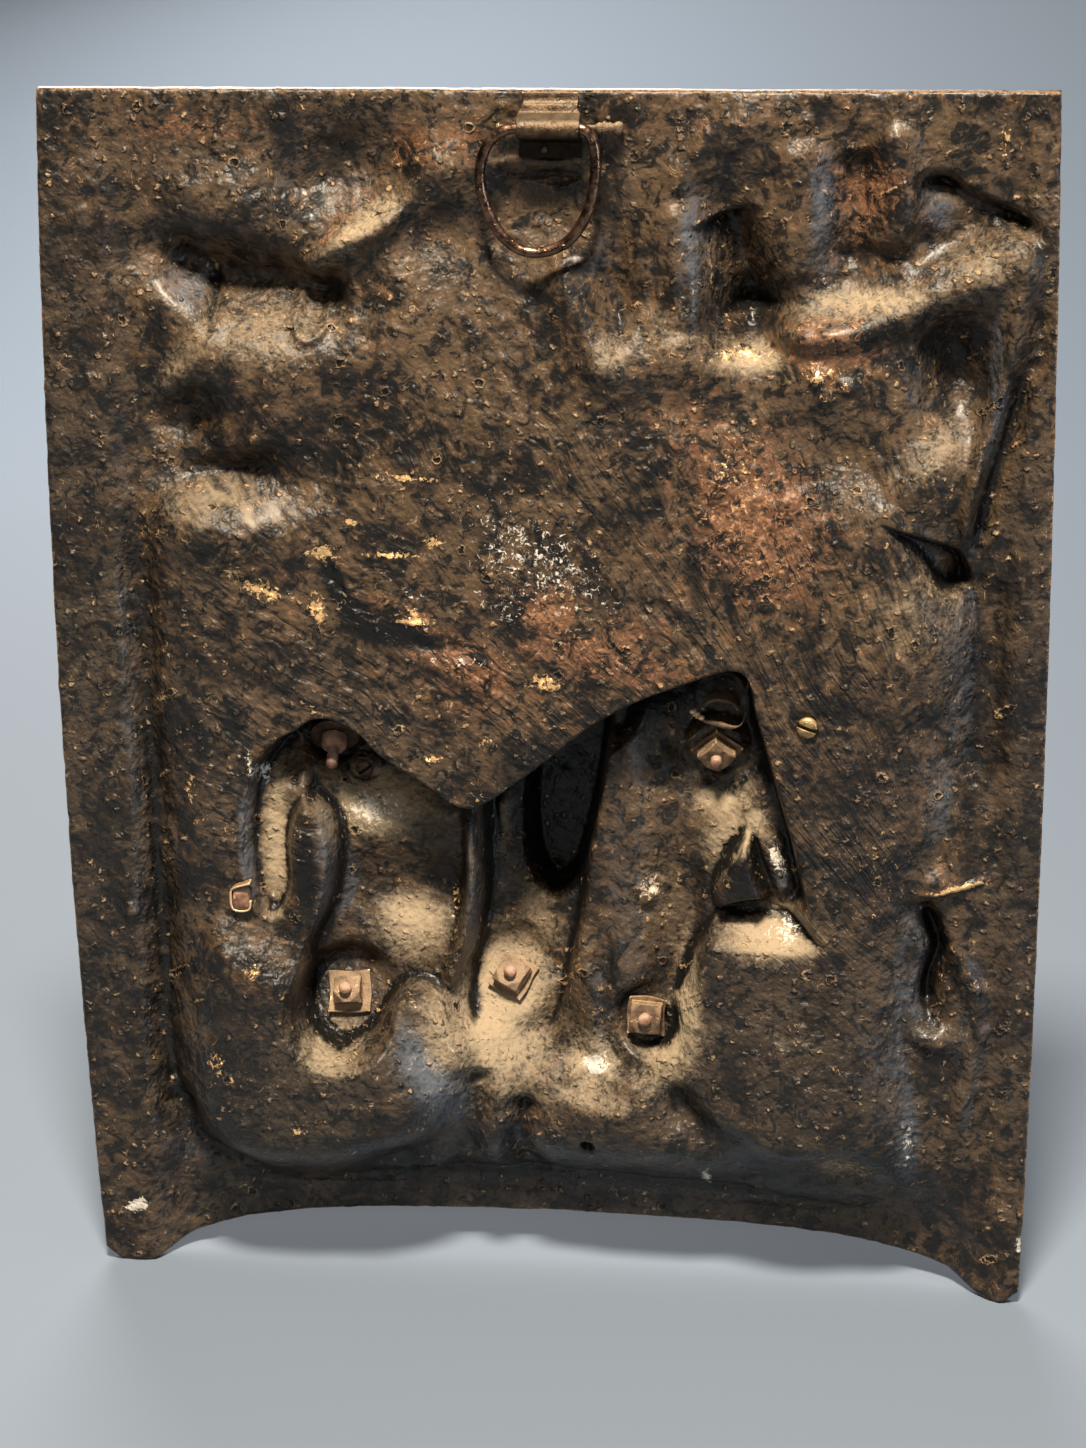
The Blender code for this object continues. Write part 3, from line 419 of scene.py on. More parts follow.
# x, z, depth of the seat, its slope across and up, turn in degrees, washer side, nut side, radius
SQUARE_FIXINGS = {
    "lower_left": (-75.6, -329.9, 14.0, (-0.10, 0.62), 4, 15.6, 10.0, 2.3),
    "middle": (-16.2, -324.8, 22.0, (-0.08, 0.72), -28, 14.0, 10.5, 2.3),
    "lower_right": (33.5, -333.4, 12.5, (0.0, 0.16), -4, 13.6, 11.2, 2.3),
    "upper_right": (58.2, -231.6, 17.0, (0.05, -0.40), 45, 13.0, 9.8, 2.1),
}
# the other fixings: x, z, depth and slope alone, and a screw's radius and its slot's turn
FLANGE_BOLT = (-79.0, -231.0, 18.0, (0.05, -0.72))
FLANGE_WASHER_RADIUS = 8.8
SCREWS = {"brass_screw": (91.1, -216.3, -4.6, (0.0, 0.0), 3.8, -20),
          "shaded_screw": (-69.2, -245.0, 21.0, (0.0, -0.20), 3.1, 35)}
BENT_STRIP = (59.6, -219.5, 21.0, (0.0, 0.0))
STRIP_RADIUS = 8.4
STRIP_SEAT_RISE = 5.9                # its seat's middle lies this far above the arch's centre
CLIP = (-110.3, -286.2, -5.0, (0.0, 0.0))
print("mounds:", len(MOUNDS), "pockets:", len(POCKETS), "ridges:", len(RIDGES) + len(CAVITY_RIDGES))


# %% The broad relief
def bottom_line(x):
    """Lower edge: its height, and how far it stands back between the two feet."""
    foot = np.where(x < 0, 158 + x, 163 - x)
    arch = soft(foot / 20) * (1 - np.exp(-np.maximum(foot, 0) / 34))
    tip = -PANEL_HEIGHT + 6 * soft((np.abs(x) - 163) / 10)
    return tip + ARCH_RISE * arch, ARCH_DEPTH * arch


def side_line(z, side):
    """Side edge, slightly bowed; side is -1 for the left and 1 for the right."""
    bow = SIDE_BOW * np.sin(pi * np.clip(-z / PANEL_HEIGHT, 0, 1)) ** 0.8
    return side * (PANEL_WIDTH / 2 + bow * (0.5 if side > 0 else 1.0))


def rim_inside(x, z):
    """Distance inside the flat rim."""
    return np.minimum(np.minimum(x + 152, 164 - x), (-z - 4) / 3)


def pocket(x, z, outline, run, top, foot):
    """Hollow whose floor slopes evenly from its top to its foot."""
    floor = top[1] + (foot[1] - top[1]) * np.clip((top[0] - z) / (top[0] - foot[0]), 0, 1)
    return soft(inward(x, z, outline) / run) * floor


def figure_floor(x, z):
    """Floor of the figures' hollow: two torsos, the gap between them and the arms."""
    floor = np.full(x.shape, 13.0)
    left = levels(z, [(-225, 27), (-240, 24), (-264, 12), (-288, 19), (-308, 14), (-340, 14)])
    right = levels(z, [(-200, 26), (-228, 22), (-262, 15), (-285, 18), (-345, 14)])
    floor = sink(floor, x, z, LEFT_TORSO, 10, left)
    floor = sink(floor, x, z, UNDER_EDGE, 6, 25.0)
    floor = sink(floor, x, z, MIDDLE, 5, levels(z, [(-240, 33), (-296, 28), (-330, 21), (-372, 6)]))
    floor = sink(floor, x, z, VOID, 5, 48.0)
    floor = sink(floor, x, z, RIGHT_TORSO, 8, right - 8 * soft((46 - x) / 26))
    floor = sink(floor, x, z, ARM, 3, levels(z, [(-232, 16), (-250, 5), (-296, 1)]))
    for row in CAVITY_RIDGES:
        floor = floor + ridge(x, z, *row)
    return sink(floor, x, z, ISLAND, 5, 1.0)


def cavity_share(x, z):
    """How much of the figures' hollow a point feels; its lower sides rise more gently."""
    run = 4.5 + 5 * soft((-310 - z) / 20) * soft((x + 62) / 10)
    run = run + 7 * soft((-282 - z) / 8) * soft((x - 54) / 6)
    run = run + 4 * soft((-300 - z) / 15) * soft((x - 36) / 8)
    run = run + 20 * soft((-320 - z) / 25) * soft((x + 36) / 16) * soft((48 - x) / 10)
    return soft(inward(x, z, CAVITY) / run)


def seats():
    """Every place that is faced flat: x, z, depth, slopes and radius."""
    x, z, depth, slope = BENT_STRIP
    yield x, z + STRIP_SEAT_RISE, depth, slope, STRIP_RADIUS
    for x, z, depth, slope, _, washer, *_ in SQUARE_FIXINGS.values():
        yield x, z, depth, slope, washer * 0.68
    yield *FLANGE_BOLT, FLANGE_WASHER_RADIUS + 0.8
    for x, z, depth, slope, radius, _ in SCREWS.values():
        yield x, z, depth, slope, radius + 0.4


def frame_depth(x, z):
    """Depth of the rim, the field and the broad swelling of the middle."""
    z_edge, y_edge = bottom_line(x)
    y = FIELD * soft(rim_inside(x, z) / 9) + y_edge * soft((52 - (z - z_edge)) / 44)
    run = 20 + 44 * soft((z + 165) / 60) * soft((125 - np.abs(x)) / 40)
    y = y - PILLOW_RISE * np.sqrt(soft(inward(x, z, PILLOW) / run))
    y = y + 8 * soft(inward(x, z, LOWER_BAY) / 14)
    y = y - 11 * soft(inward(x, z, HAM) / 24)
    return y


def broad_depth(x, z):
    """Depth of the back face without its fine surface; the forms' courses waver a little."""
    y = frame_depth(x, z)
    free = 1 - soft((inward(x, z, CAVITY) + 4) / 4)
    waver_x = x + 2.0 * free * noise(x / 17, z / 17, 11)
    waver_z = z + 2.0 * free * noise(x / 17, z / 17, 12)
    for row in MOUNDS:
        y = y + mound(waver_x, waver_z, *row)
    for row in RIDGES:
        y = y + ridge(waver_x, waver_z, *row)
    for row in POCKETS:
        y = y + pocket(waver_x, waver_z, *row)
    return y + cavity_share(x, z) * (figure_floor(x, z) - y)


def face_seats(y, x, z):
    """Flatten the surface where washers and screw heads bear."""
    for seat_x, seat_z, depth, slope, radius in seats():
        plane = depth + slope[0] * (x - seat_x) + slope[1] * (z - seat_z)
        blend = 3.5 + 12 * max(slope[1], 0)
        near = soft((radius + blend - np.hypot(x - seat_x, z - seat_z)) / blend)
        y = y + near * (plane - y)
    return y


print("places faced flat:", len(list(seats())))

# %% [markdown]
# ### The fine surface
#
# The cast skin is rough: it undulates, it is pitted and blistered, and a coarse brush left
# furrows in its paint. Three tools make this. Smooth random values on a lattice give
# undulation, stretched ones give brush marks, and scattered spots give pits and blisters.
# Everything random comes from numbered seeds, so each run gives the same plaque.

# %% Random surfaces
TABLE = 256


def noise(u, v, seed):
    """Smooth random values from -1 to 1, one bump in every unit of u and v."""
    table = np.random.default_rng(seed).random((TABLE, TABLE)) * 2 - 1
    i, j = np.floor(u).astype(int), np.floor(v).astype(int)
    s, t = soft(u - i), soft(v - j)
    i, j, k, m = i % TABLE, j % TABLE, (i + 1) % TABLE, (j + 1) % TABLE
    return ((table[i, j] * (1 - s) + table[k, j] * s) * (1 - t)
            + (table[i, m] * (1 - s) + table[k, m] * s) * t)


def spots(x, z, spacing, share, radius, seed):
    """Scattered round spots, 1 at their middles, some raised (+) and some sunk (-)."""
    random = np.random.default_rng(seed)
    place_x, place_z, kind, size = (random.random((TABLE, TABLE)) for _ in range(4))
    u, v = x / spacing, z / spacing
    i, j = np.floor(u).astype(int), np.floor(v).astype(int)
    result = np.zeros(x.shape)
    for di in (-1, 0, 1):
        for dj in (-1, 0, 1):
            a, b = (i + di) % TABLE, (j + dj) % TABLE
            away = np.hypot(u - i - di - place_x[a, b], v - j - dj - place_z[a, b]) * spacing
            spread = radius * (0.6 + 0.8 * size[a, b])
            sign = np.where(kind[a, b] < share / 2, -1.0, 1.0) * (kind[a, b] < share)
            result = result + sign * np.exp(-(away / spread) ** 2)
    return result


FAN_X, FAN_Z = 187, -380             # the brush marks fan out from here, below right
FAN_REACH = 290                      # and their width is true this far out


def brush_course(x, z):
    """How far across and along the brush marks a point lies."""
    out_x, out_z = x - FAN_X, z - FAN_Z
    across = np.arctan2(out_x, out_z) * FAN_REACH + 5 * noise(x / 24, z / 24, 8)
    return across, np.hypot(out_x, out_z) + 3 * noise(x / 30, z / 30, 5)


def brush_zone(x, z):
    """Where the brush marks show: on the broad middle swelling."""
    return soft((z + 330) / 70) * soft((-80 - z) / 50) * soft((136 - np.abs(x)) / 24)


def furrows(x, z):
    """Relief of the brush marks."""
    across, along = brush_course(x, z)
    return 0.6 * noise(across / 2.6, along / 26, 6) + 0.4 * noise(across / 1.7, along / 14, 7)


print("deepest point about", round(float(broad_depth(np.array([0.0]), np.array([-250.0]))[0]), 1), "mm")

# %% Small features by name
STAR_LUMP = [(30, -284, 3, 2.5, -1.8), (35, -288, 3, 3, -2.2), (39, -283, 2.5, 2.5, -1.6),
             (33, -290, 2.5, 2, -1.2), (35, -285.5, 1.6, 1.6, 1.6)]
SMALL_MOUNDS = STAR_LUMP + [
    (-152, -295, 3.4, 3.6, -3.2), (12.4, -382, 2.4, 2.2, 6), (-24, -235, 2.6, 2.6, -0.9),
    (-24, -235, 1.0, 1.0, 1.6), (-58, -251, 3.4, 3.0, -1.3), (-58, -251, 1.5, 1.3, 1.5),
    (-77.6, -252, 2.6, 2.6, -1.0), (-77.6, -252, 1.1, 1.1, 1.4), (38, -241, 3, 3, -1.4),
    (52.4, -245, 1.8, 1.8, -1.2), (-40, -232, 3, 1.5, -0.8), (0, -203, 6, 3, -0.8),
    (130, -281, 4, 3, -2), (148, -262, 9, 7, -1.6), (155, -280, 8, 7, -1.4), (160, -268, 6, 5, 1.2),
    (-46, -285, 4, 5, 1.5), (-36, -292, 2.5, 8, 2.0), (-60, -300, 6, 5, -1.2), (22, -118, 9, 6, -1),
    (-20, -262, 4, 5, -3), (-21, -280, 5, 7, -3.5), (-24, -292, 4, 6, -2.5), (-96, -236, 5, 8, 1.5)]
SMALL_RIDGES = [
    ([(-15, -24.5), (-8, -24), (2, -24.6), (13, -24.2)], (1.7, 1.7), -2.0, 0.1),
    ([(-15, -28.2), (-6, -28.8), (3, -28.0), (14, -28.6)], (1.1, 1.1), 2.0, 0.15),
    ([(-4, -31.5), (5, -33), (13, -31)], (1.3, 1.3), -1.4, 0.2),
    ([(128, -279), (140, -277.5), (148, -275), (157, -272)], (1.2, 1.0), -1.6, 0.2),
    ([(-99, -227), (-105, -238), (-109.5, -256), (-110, -276), (-106, -291)], (1.5, 1.3), -1.5, 0.1),
    ([(-106.5, -284), (-105.5, -294)], (1.0, 1.0), -1.6, 0.2),
    ([(-103.5, -285), (-102, -295)], (0.9, 0.9), -1.2, 0.2),
    ([(-60, -178), (-52, -187), (-38, -191), (-20, -188)], (2.2, 2.2), 0.9, 0.2),
    ([(-76, -160), (-70, -172), (-60, -180)], (1.6, 1.6), 0.8, 0.2),
    ([(-64, -158), (-46, -159.5)], (0.9, 0.9), -0.7, 0.2),
    ([(-56, -181), (-40, -183)], (0.9, 0.9), -0.7, 0.2),
    ([(-88, -130), (-66, -134), (-45, -133)], (0.8, 0.8), -0.6, 0.2),
    ([(60, -190), (66, -168), (72, -150)], (2.0, 2.0), 0.7, 0.2),
    ([(40, -172), (52, -188), (66, -200)], (1.6, 1.6), 0.8, 0.2),
    ([(72, -180), (77, -200), (84, -226), (92, -256)], (1.8, 1.8), -0.8, 0.2),
    ([(52, -392), (55, -399), (56, -406)], (0.8, 0.8), -0.7, 0.2),
    ([(113, -160), (117, -180), (119, -198)], (1.2, 1.2), -0.5, 0.2),
    ([(155, -8), (151, -25)], (0.9, 0.9), -1.0, 0.2),
    ([(160, -8), (156, -28)], (0.8, 0.8), -0.8, 0.2),
    ([(-86, -408), (-20, -404), (60, -405), (118, -413)], (2.0, 2.0), 1.6, 0.1)]


def fine_depth(x, z, hollow):
    """Fine surface that is laid over the broad relief; calmer where the hollow is 1."""
    brushed = brush_zone(x, z)
    calm = 1 - 0.6 * hollow
    y = 0.50 * noise(x / 15, z / 15, 21) + 0.28 * noise(x / 6.5, z / 6.5, 22)
    y = y + 0.16 * noise(x / 3.1, z / 3.1, 23)
    y = y + (0.10 + 0.30 * brushed) * furrows(x, z) * calm
    y = y - 0.55 * calm * spots(x, z, 7.0, 0.55, 1.5, 31)
    y = y - 0.42 * calm * spots(x, z, 4.2, 0.50, 0.95, 32)
    y = y - 0.9 * calm * spots(x, z, 23.0, 0.5, 2.4, 33)
    for row in SMALL_MOUNDS:
        y = y + mound(x, z, *row)
    for row in SMALL_RIDGES:
        y = y + ridge(x, z, *row)
    return y


print("small features:", len(SMALL_MOUNDS) + len(SMALL_RIDGES))

# %% [markdown]
# ## The casting
#
# The panel is one closed skin. Two grids, a fine one for the back and a coarser one for the
# front, are joined around their edges with bridge_loops. Then every vertex is given its place
# from arrays that hold x, z and depth for each row and column. The front is the back's other
# side: a ball as thick as the wall is rolled along the back, and the front is where it
# reaches, which rounds the forms as a casting's outside is rounded. Last, Decimate spends the
# triangles where the surface bends and saves them where it is flat.

# %% Arrays for the two faces
ACROSS, DOWN = 420, 540              # cells of the back
FRONT_ACROSS, FRONT_DOWN = 172, 220  # cells of the front
TRIANGLES = 190000


def plan(across, down):
    """x and z of a grid's rows and columns, inside the bowed sides and the arched edge."""
    u, v = np.meshgrid(np.linspace(0, 1, across + 1), np.linspace(0, 1, down + 1))
    rough_z = -PANEL_HEIGHT * v
    nicks = 0.30 * noise(rough_z / 9, u * 0 + 3, 41) + 0.2 * noise(rough_z / 3.1, u * 0 + 9, 42)
    x = side_line(rough_z, -1) + u * (side_line(rough_z, 1) - side_line(rough_z, -1))
    x = x * (1 - np.abs(nicks) / 260)
    z = bottom_line(x)[0] * v
    return x, z - 0.25 * (1 - v) * np.abs(noise(x / 7, u * 0 + 5, 43))


def blurred(field, times):
    """Average of neighbours, again and again."""
    for _ in range(times):
        padded = np.pad(field, 1, mode="edge")
        field = (padded[:-2, 1:-1] + padded[2:, 1:-1] + padded[1:-1, :-2] + padded[1:-1, 2:]
                 + 4 * field) / 8
    return field


def edge_distance(x, z):
    """Distance inside the panel's outline."""
    low = z - bottom_line(x)[0]
    return np.minimum(np.minimum(x - side_line(z, -1), side_line(z, 1) - x), np.minimum(-z, low))


back_x, back_z = plan(ACROSS, DOWN)
hollow = soft((inward(back_x, back_z, CAVITY) + 1) / 5)
back_y = broad_depth(back_x, back_z) + fine_depth(back_x, back_z, hollow)
back_y = face_seats(back_y, back_x, back_z)
edge = edge_distance(back_x, back_z)
back_y = back_y + 0.9 * (1 - soft((edge + 0.2) / 1.3)) + 0.25
print("back face:", back_y.shape, "depth", round(back_y.min(), 1), "to", round(back_y.max(), 1), "mm")

# %% The front, one wall away
front_x, front_z = plan(FRONT_ACROSS, FRONT_DOWN)
under = broad_depth(front_x, front_z)
under = face_seats(under, front_x, front_z)
step = PANEL_WIDTH / FRONT_ACROSS
front_y = under + WALL
REACH = 2
padded = np.pad(under, REACH, mode="edge")
for i in range(-REACH, REACH + 1):
    for j in range(-REACH, REACH + 1):
        away = step * (i * i + j * j) ** 0.5
        if 0 < away < WALL:
            shifted = padded[REACH + i:REACH + i + under.shape[0], REACH + j:REACH + j + under.shape[1]]
            front_y = np.maximum(front_y, shifted + (WALL ** 2 - away ** 2) ** 0.5)
rim = 1 - soft(rim_inside(front_x, front_z) / 12)
front_y = np.maximum(front_y, under + WALL + (RIM_THICKNESS - WALL) * rim)
front_y = blurred(front_y, 2) + 0.25 * noise(front_x / 6, front_z / 6, 51)
HEAD_SEAT = WALL + 1.2
HEAD_RADIUS = 4.6
for row in list(SQUARE_FIXINGS.values()) + [FLANGE_BOLT]:
    x, z, depth, slope = row[:4]
    bear = depth + HEAD_SEAT + slope[0] * (front_x - x) + slope[1] * (front_z - z)
    away = np.hypot(front_x - x - slope[0] * 5, front_z - z - slope[1] * 5)
    near = soft((HEAD_RADIUS + 3.2 - away) / 2)
    front_y = front_y + near * (bear - front_y)
front_y = front_y - 0.9 * (1 - soft(edge_distance(front_x, front_z) / 2.0))
print("front face:", front_y.shape, "depth", round(front_y.min(), 1), "to",
      round(front_y.max(), 1), "mm")


# %% Join, place and thin out the skin
def placed_grid(bm, across, down, lift):
    """One grid of the skin, one unit wide, lifted out of the other's way."""
    made = bmesh.ops.create_grid(bm, x_segments=across, y_segments=down, size=0.5)
    bmesh.ops.translate(bm, vec=(0, 0, lift), verts=made["verts"])


def array_order(place, across, down):
    """Row and column of each vertex of a grid."""
    column = np.rint((place[:, 0] + 0.5) * across).astype(int)
    return np.rint((0.5 - place[:, 1]) * down).astype(int), column


def from_arrays(order, x, y, z):
    """The places that a grid's rows and columns hold, in metres."""
    return np.stack([x[order], y[order] + HINGE_PROUD, z[order] + HINGE_DROP], 1) * MM


bm = bmesh.new()
placed_grid(bm, ACROSS, DOWN, 0.0)
placed_grid(bm, FRONT_ACROSS, FRONT_DOWN, -0.02)
open_edges = [e for e in bm.edges if e.is_boundary]
bmesh.ops.bridge_loops(bm, edges=open_edges)
casting_mesh = bpy.data.meshes.new("casting")
bm.to_mesh(casting_mesh)
bm.free()
count = len(casting_mesh.vertices)
back_count = (ACROSS + 1) * (DOWN + 1)
place = np.empty(count * 3)
casting_mesh.vertices.foreach_get("co", place)
place = place.reshape(-1, 3)
back_order = array_order(place[:back_count], ACROSS, DOWN)
front_order = array_order(place[back_count:], FRONT_ACROSS, FRONT_DOWN)
place[:back_count] = from_arrays(back_order, back_x, back_y, back_z)
place[back_count:] = from_arrays(front_order, front_x, front_y, front_z)
print("skin before thinning:", count, "vertices")

# %% [markdown]
# ### Masks for the finish
#
# Paint, rust and dust don't lie evenly, and they follow the form. Dust rests on slopes that
# face up, and its mask also paints highlight where the light falls on them. Painted shade sits
# in the hollows, in one mask with soot and black strokes, rubbed metal shows on crests and
# edges, and a bluish painted sheen stands for the cool light on what faces right. Chalky scuffs
# share their mask with a few painted highlights. Towards the sides and the lower edge the
# colour is painted darker, as shade where the light falls off, and the surface is rougher; one
# more mask, the shade, keeps this. These masks are worked out from the same arrays and kept on
# the mesh as attributes, which the material then breaks up with finer patterns. Whatever can be
# worked out once per vertex is cheaper than in the material.

# %% Where each finish lies
# x, z, half width, half height, strength, turn
RUST = [(72, -145, 34, 48, 0.75, 20), (52, -105, 30, 22, 0.45, 0), (22, -192, 44, 18, 0.65, -8),
        (-32, -195, 46, 16, 0.7, -30), (-66, -48, 26, 34, 0.45, 0), (106, -36, 20, 30, 0.6, 0),
        (96, -84, 24, 16, 0.7, 0), (-128, -62, 12, 14, 0.35, 0), (-30, -18, 30, 12, 0.6, 0),
        (-98, -170, 26, 26, 0.35, 0), (145, -275, 16, 14, 0.4, 0), (2, -178, 12, 12, 0.9, 0),
        (-95, -300, 10, 40, 0.35, 0), (-120, -12, 50, 8, 0.5, 0), (60, -10, 60, 6, 0.5, 0)]
# dust, and painted highlight on the lit lobes and on the lit floors of the figures' hollow
DUST_AND_HIGHLIGHT = [(-64, -256, 17, 13, 1.0, 0), (-52, -303, 14, 13, 1.0, 0), (-99, -268, 5.5, 26, 1.0, 0),
        (66, -264, 14, 12, 0.9, 45), (80, -296, 17, 9, 1.0, 0), (-20, -335, 18, 30, 1.0, 0),
        (49, -322, 6, 22, 1.0, 0), (14, -350, 10, 12, 0.9, 0), (-40, -340, 7, 14, 0.9, 20),
        (60, -250, 12, 12, 0.8, 45), (-20, -265, 4, 14, 0.6, 0), (-94, -84, 32, 14, 0.32, 14),
        (-124, -92, 7, 20, 0.45, -35), (-62, -47, 24, 5, 0.60, 38), (-32, -24, 12, 9, 0.30, 0),
        (-113, -143, 27, 12, 0.30, 0), (69, -90, 13, 5, 0.75, 0), (112, -69, 34, 5, 0.60, 4),
        (148, -58, 16, 8, 0.45, 25), (130, -121, 17, 9, 0.40, 38), (44, -84, 14, 10, 0.34, 0),
        (23, -88, 9, 9, 0.42, 0), (-53, -68, 20, 18, 0.14, 0), (126, -176, 18, 26, 0.34, 0),
        (-80, -345, 12, 10, 0.6, 0), (105, -386, 12, 8, 0.7, 0), (-110, -355, 24, 30, 0.15, 0),
        (6, -362, 26, 7, 0.5, 0), (40, -285, 12, 20, 0.35, 0), (44, -340, 10, 18, 0.9, -20),
        (-8, -300, 8, 22, 0.55, 10)]
# painted sheen: bluish where the cool light from the right falls on the slopes that face it
PAINTED_COOL_SHEEN = [(-152, -250, 5, 130, 0.3, 0), (-124, -70, 8, 9, 0.9, 0), (-109, -262, 4, 34, 1.0, 0),
         (-78, -286, 12, 22, 0.7, 0), (-82, -268, 4, 12, 1.0, 0), (-30, -280, 3, 34, 1.0, 0),
         (24, -280, 9, 60, 0.8, 0), (143, -190, 7, 40, 0.5, 0), (138, -245, 6, 26, 0.5, 0),
         (128, -320, 5, 50, 0.7, 0), (130, -375, 5, 30, 1.0, 0), (147, -336, 5, 34, 0.8, 0),
         (48, -52, 6, 22, 0.9, 0), (93, -40, 5, 22, 0.8, 0), (152, -92, 4, 38, 1.0, 0),
         (-44, -350, 9, 30, 1.3, 25), (14, -348, 10, 14, 0.8, 0), (112, -175, 18, 26, 0.4, 0),
         (-20, -155, 40, 30, 0.3, 0), (-133, -384, 6, 12, 0.6, 0), (80, -275, 3, 14, 1.0, 20),
         (132, -40, 6, 16, 0.6, 0)]
GILT = [(-46, -131, 15, 1.1, 1.1, -3), (-66, -147, 4, 2, 1, 0), (-45, -180, 4, 3, 1, 0),
        (-98, -172, 11, 5, 1, -15), (-79, -178, 4, 8, 1, 0), (-76, -158, 8, 4, 1, 0),
        (-52, -158, 14, 1.5, 0.9, 0), (-46, -182, 10, 2, 1, 0), (-128, -246, 3, 8, 0.9, 0),
        (-125, -258, 8, 2, 0.7, 0), (0, -203, 9, 3.5, 1, 0), (-38, -153, 5, 3, 1, 0),
        (-121, -348, 4, 6, 0.9, 0), (-106, -312, 4, 4, 0.9, 0), (-91, -372, 4, 4, 0.8, 0),
        (-138, -153, 14, 4, 0.7, 15), (-108, -165, 5, 4, 0.9, 0), (145, -276, 14, 2, 0.9, 8),
        (66, -88, 14, 2.5, 0.9, 0), (-40, -232, 8, 2.5, 0.8, 0), (-20, -226, 5, 6, 0.6, 0),
        (95, -95, 14, 12, 0.55, 0), (66, -130, 16, 34, 0.5, 0), (60, -50, 10, 16, 0.45, 0),
        (153, -16, 4, 12, 0.6, 20), (148, -305, 14, 30, 0.35, 0), (105, -385, 22, 14, 0.5, 0),
        (115, -270, 14, 40, 0.4, 0), (-60, -396, 60, 14, 0.35, 0), (35, -285, 6, 5, 0.7, 0),
        (12, -330, 10, 6, 0.5, 0), (-135, -196, 3, 6, 0.7, 0), (-36, -292, 3, 10, 0.7, 0)]
# chalky scuffs and white chips, and painted highlights on a few lit spots and edges
CHALK_AND_HIGHLIGHT = [(-2, -160, 50, 26, 0.62, -38), (-14, -176, 20, 9, 0.55, -30), (-48, -172, 22, 8, 0.5, -10),
         (26, -196, 16, 7, 0.5, -40), (-157, -414, 6, 3.2, 1.3, 30), (171, -413, 3, 6, 1.3, 0),
         (-44, -348, 5, 22, 0.5, 30), (55, -399, 2.5, 8, 1.0, 0), (15, -351, 6, 5, 1.1, 0),
         (129, -376, 3, 14, 0.8, 0), (-28, -196, 22, 3, 0.7, 0), (-84, -334, 3, 8, 0.5, 30),
         (-66, -258, 15, 9, 0.85, 0), (80, -270, 3, 8, 1.0, 20), (-101, -290, 6, 4, 0.55, 0),
         (-104, -240, 3, 12, 0.9, 20), (84, -296, 9, 5, 0.8, 0), (-38, -340, 5, 14, 0.5, 25),
         (35, -285, 7, 6, 0.8, 0), (-12, -176, 9, 6, 0.6, 0)]
# soot and black strokes, and painted shade under the V-shaped edge, in the gap and along the edges
SOOT_AND_SHADE = [(-52, -187, 20, 5, 1.5, -8), (-73, -168, 4, 11, 1.5, 20), (-65, -180, 5, 9, 1.5, 48),
        (-4, -262, 17, 32, 1.4, 0), (3, -284, 13, 16, 1.3, 0), (-40, -200, 30, 3, 0.8, -24),
        (-100, -205, 26, 3, 0.8, -28), (52, -160, 3, 26, 0.8, 8), (64, -172, 3, 24, 0.8, 14),
        (40, -140, 3, 18, 0.7, 20), (-75, -120, 20, 3, 0.6, -40), (-10, -122, 16, 3, 0.6, -35),
        (-68, -236, 24, 8, 0.9, -30), (40, -218, 30, 8, 1.0, 22), (66, -285, 8, 12, 0.7, 0),
        (60, -245, 20, 6, 0.8, 0), (-72, -27, 20, 12, 0.5, 30), (140, -90, 8, 18, 0.6, 0),
        (70, -72, 9, 10, 0.9, 0), (136, -304, 3, 18, 0.8, 0), (-144, -280, 4, 90, 0.6, 0),
        (148, -230, 4, 80, 0.6, 0), (0, -407, 110, 3, 0.9, 0), (-30, -130, 60, 24, 0.25, 0),
        (55, -205, 30, 6, 0.7, 20), (12.4, -382, 3, 3, 1.0, 0), (-40, -284, 9, 12, 0.7, 0),
        (-82, -318, 6, 22, 0.4, 0), (-87, -276, 5, 26, 1.1, 0), (68, -276, 9, 14, 1.1, 0),
        (-22, -250, 7, 12, 0.9, 0), (-100, -370, 60, 40, 0.40, 0), (90, -350, 60, 60, 0.38, 0),
        (0, -402, 170, 16, 0.55, 0), (-20, -384, 50, 14, 0.35, 0), (-158, -120, 10, 90, 0.3, 0),
        (0, -12, 170, 9, 0.3, 0), (-60, -140, 50, 34, 0.22, 0), (60, -150, 70, 24, 0.2, 0)]
# painted shade towards the sides and the lower edge, where the light falls off
SHADE = [(-165, -200, 26, 260, 1.0, 0), (172, -260, 30, 200, 0.9, 0), (-100, -360, 70, 60, 1.0, 0),
         (90, -345, 70, 70, 1.0, 0), (0, -395, 190, 36, 1.0, 0), (-110, -25, 60, 30, 0.5, 0),
         (-70, -215, 60, 16, 0.6, -30), (-130, -240, 30, 80, 0.8, 0), (110, -260, 24, 60, 0.7, 0)]


def patches(x, z, rows):
    """How strongly a finish lies at each point."""
    total = np.zeros(x.shape)
    for mid_x, mid_z, half_width, half_height, strength, turn in rows:
        total = np.maximum(total, mound(x, z, mid_x, mid_z, half_width, half_height, strength, turn))
    return total


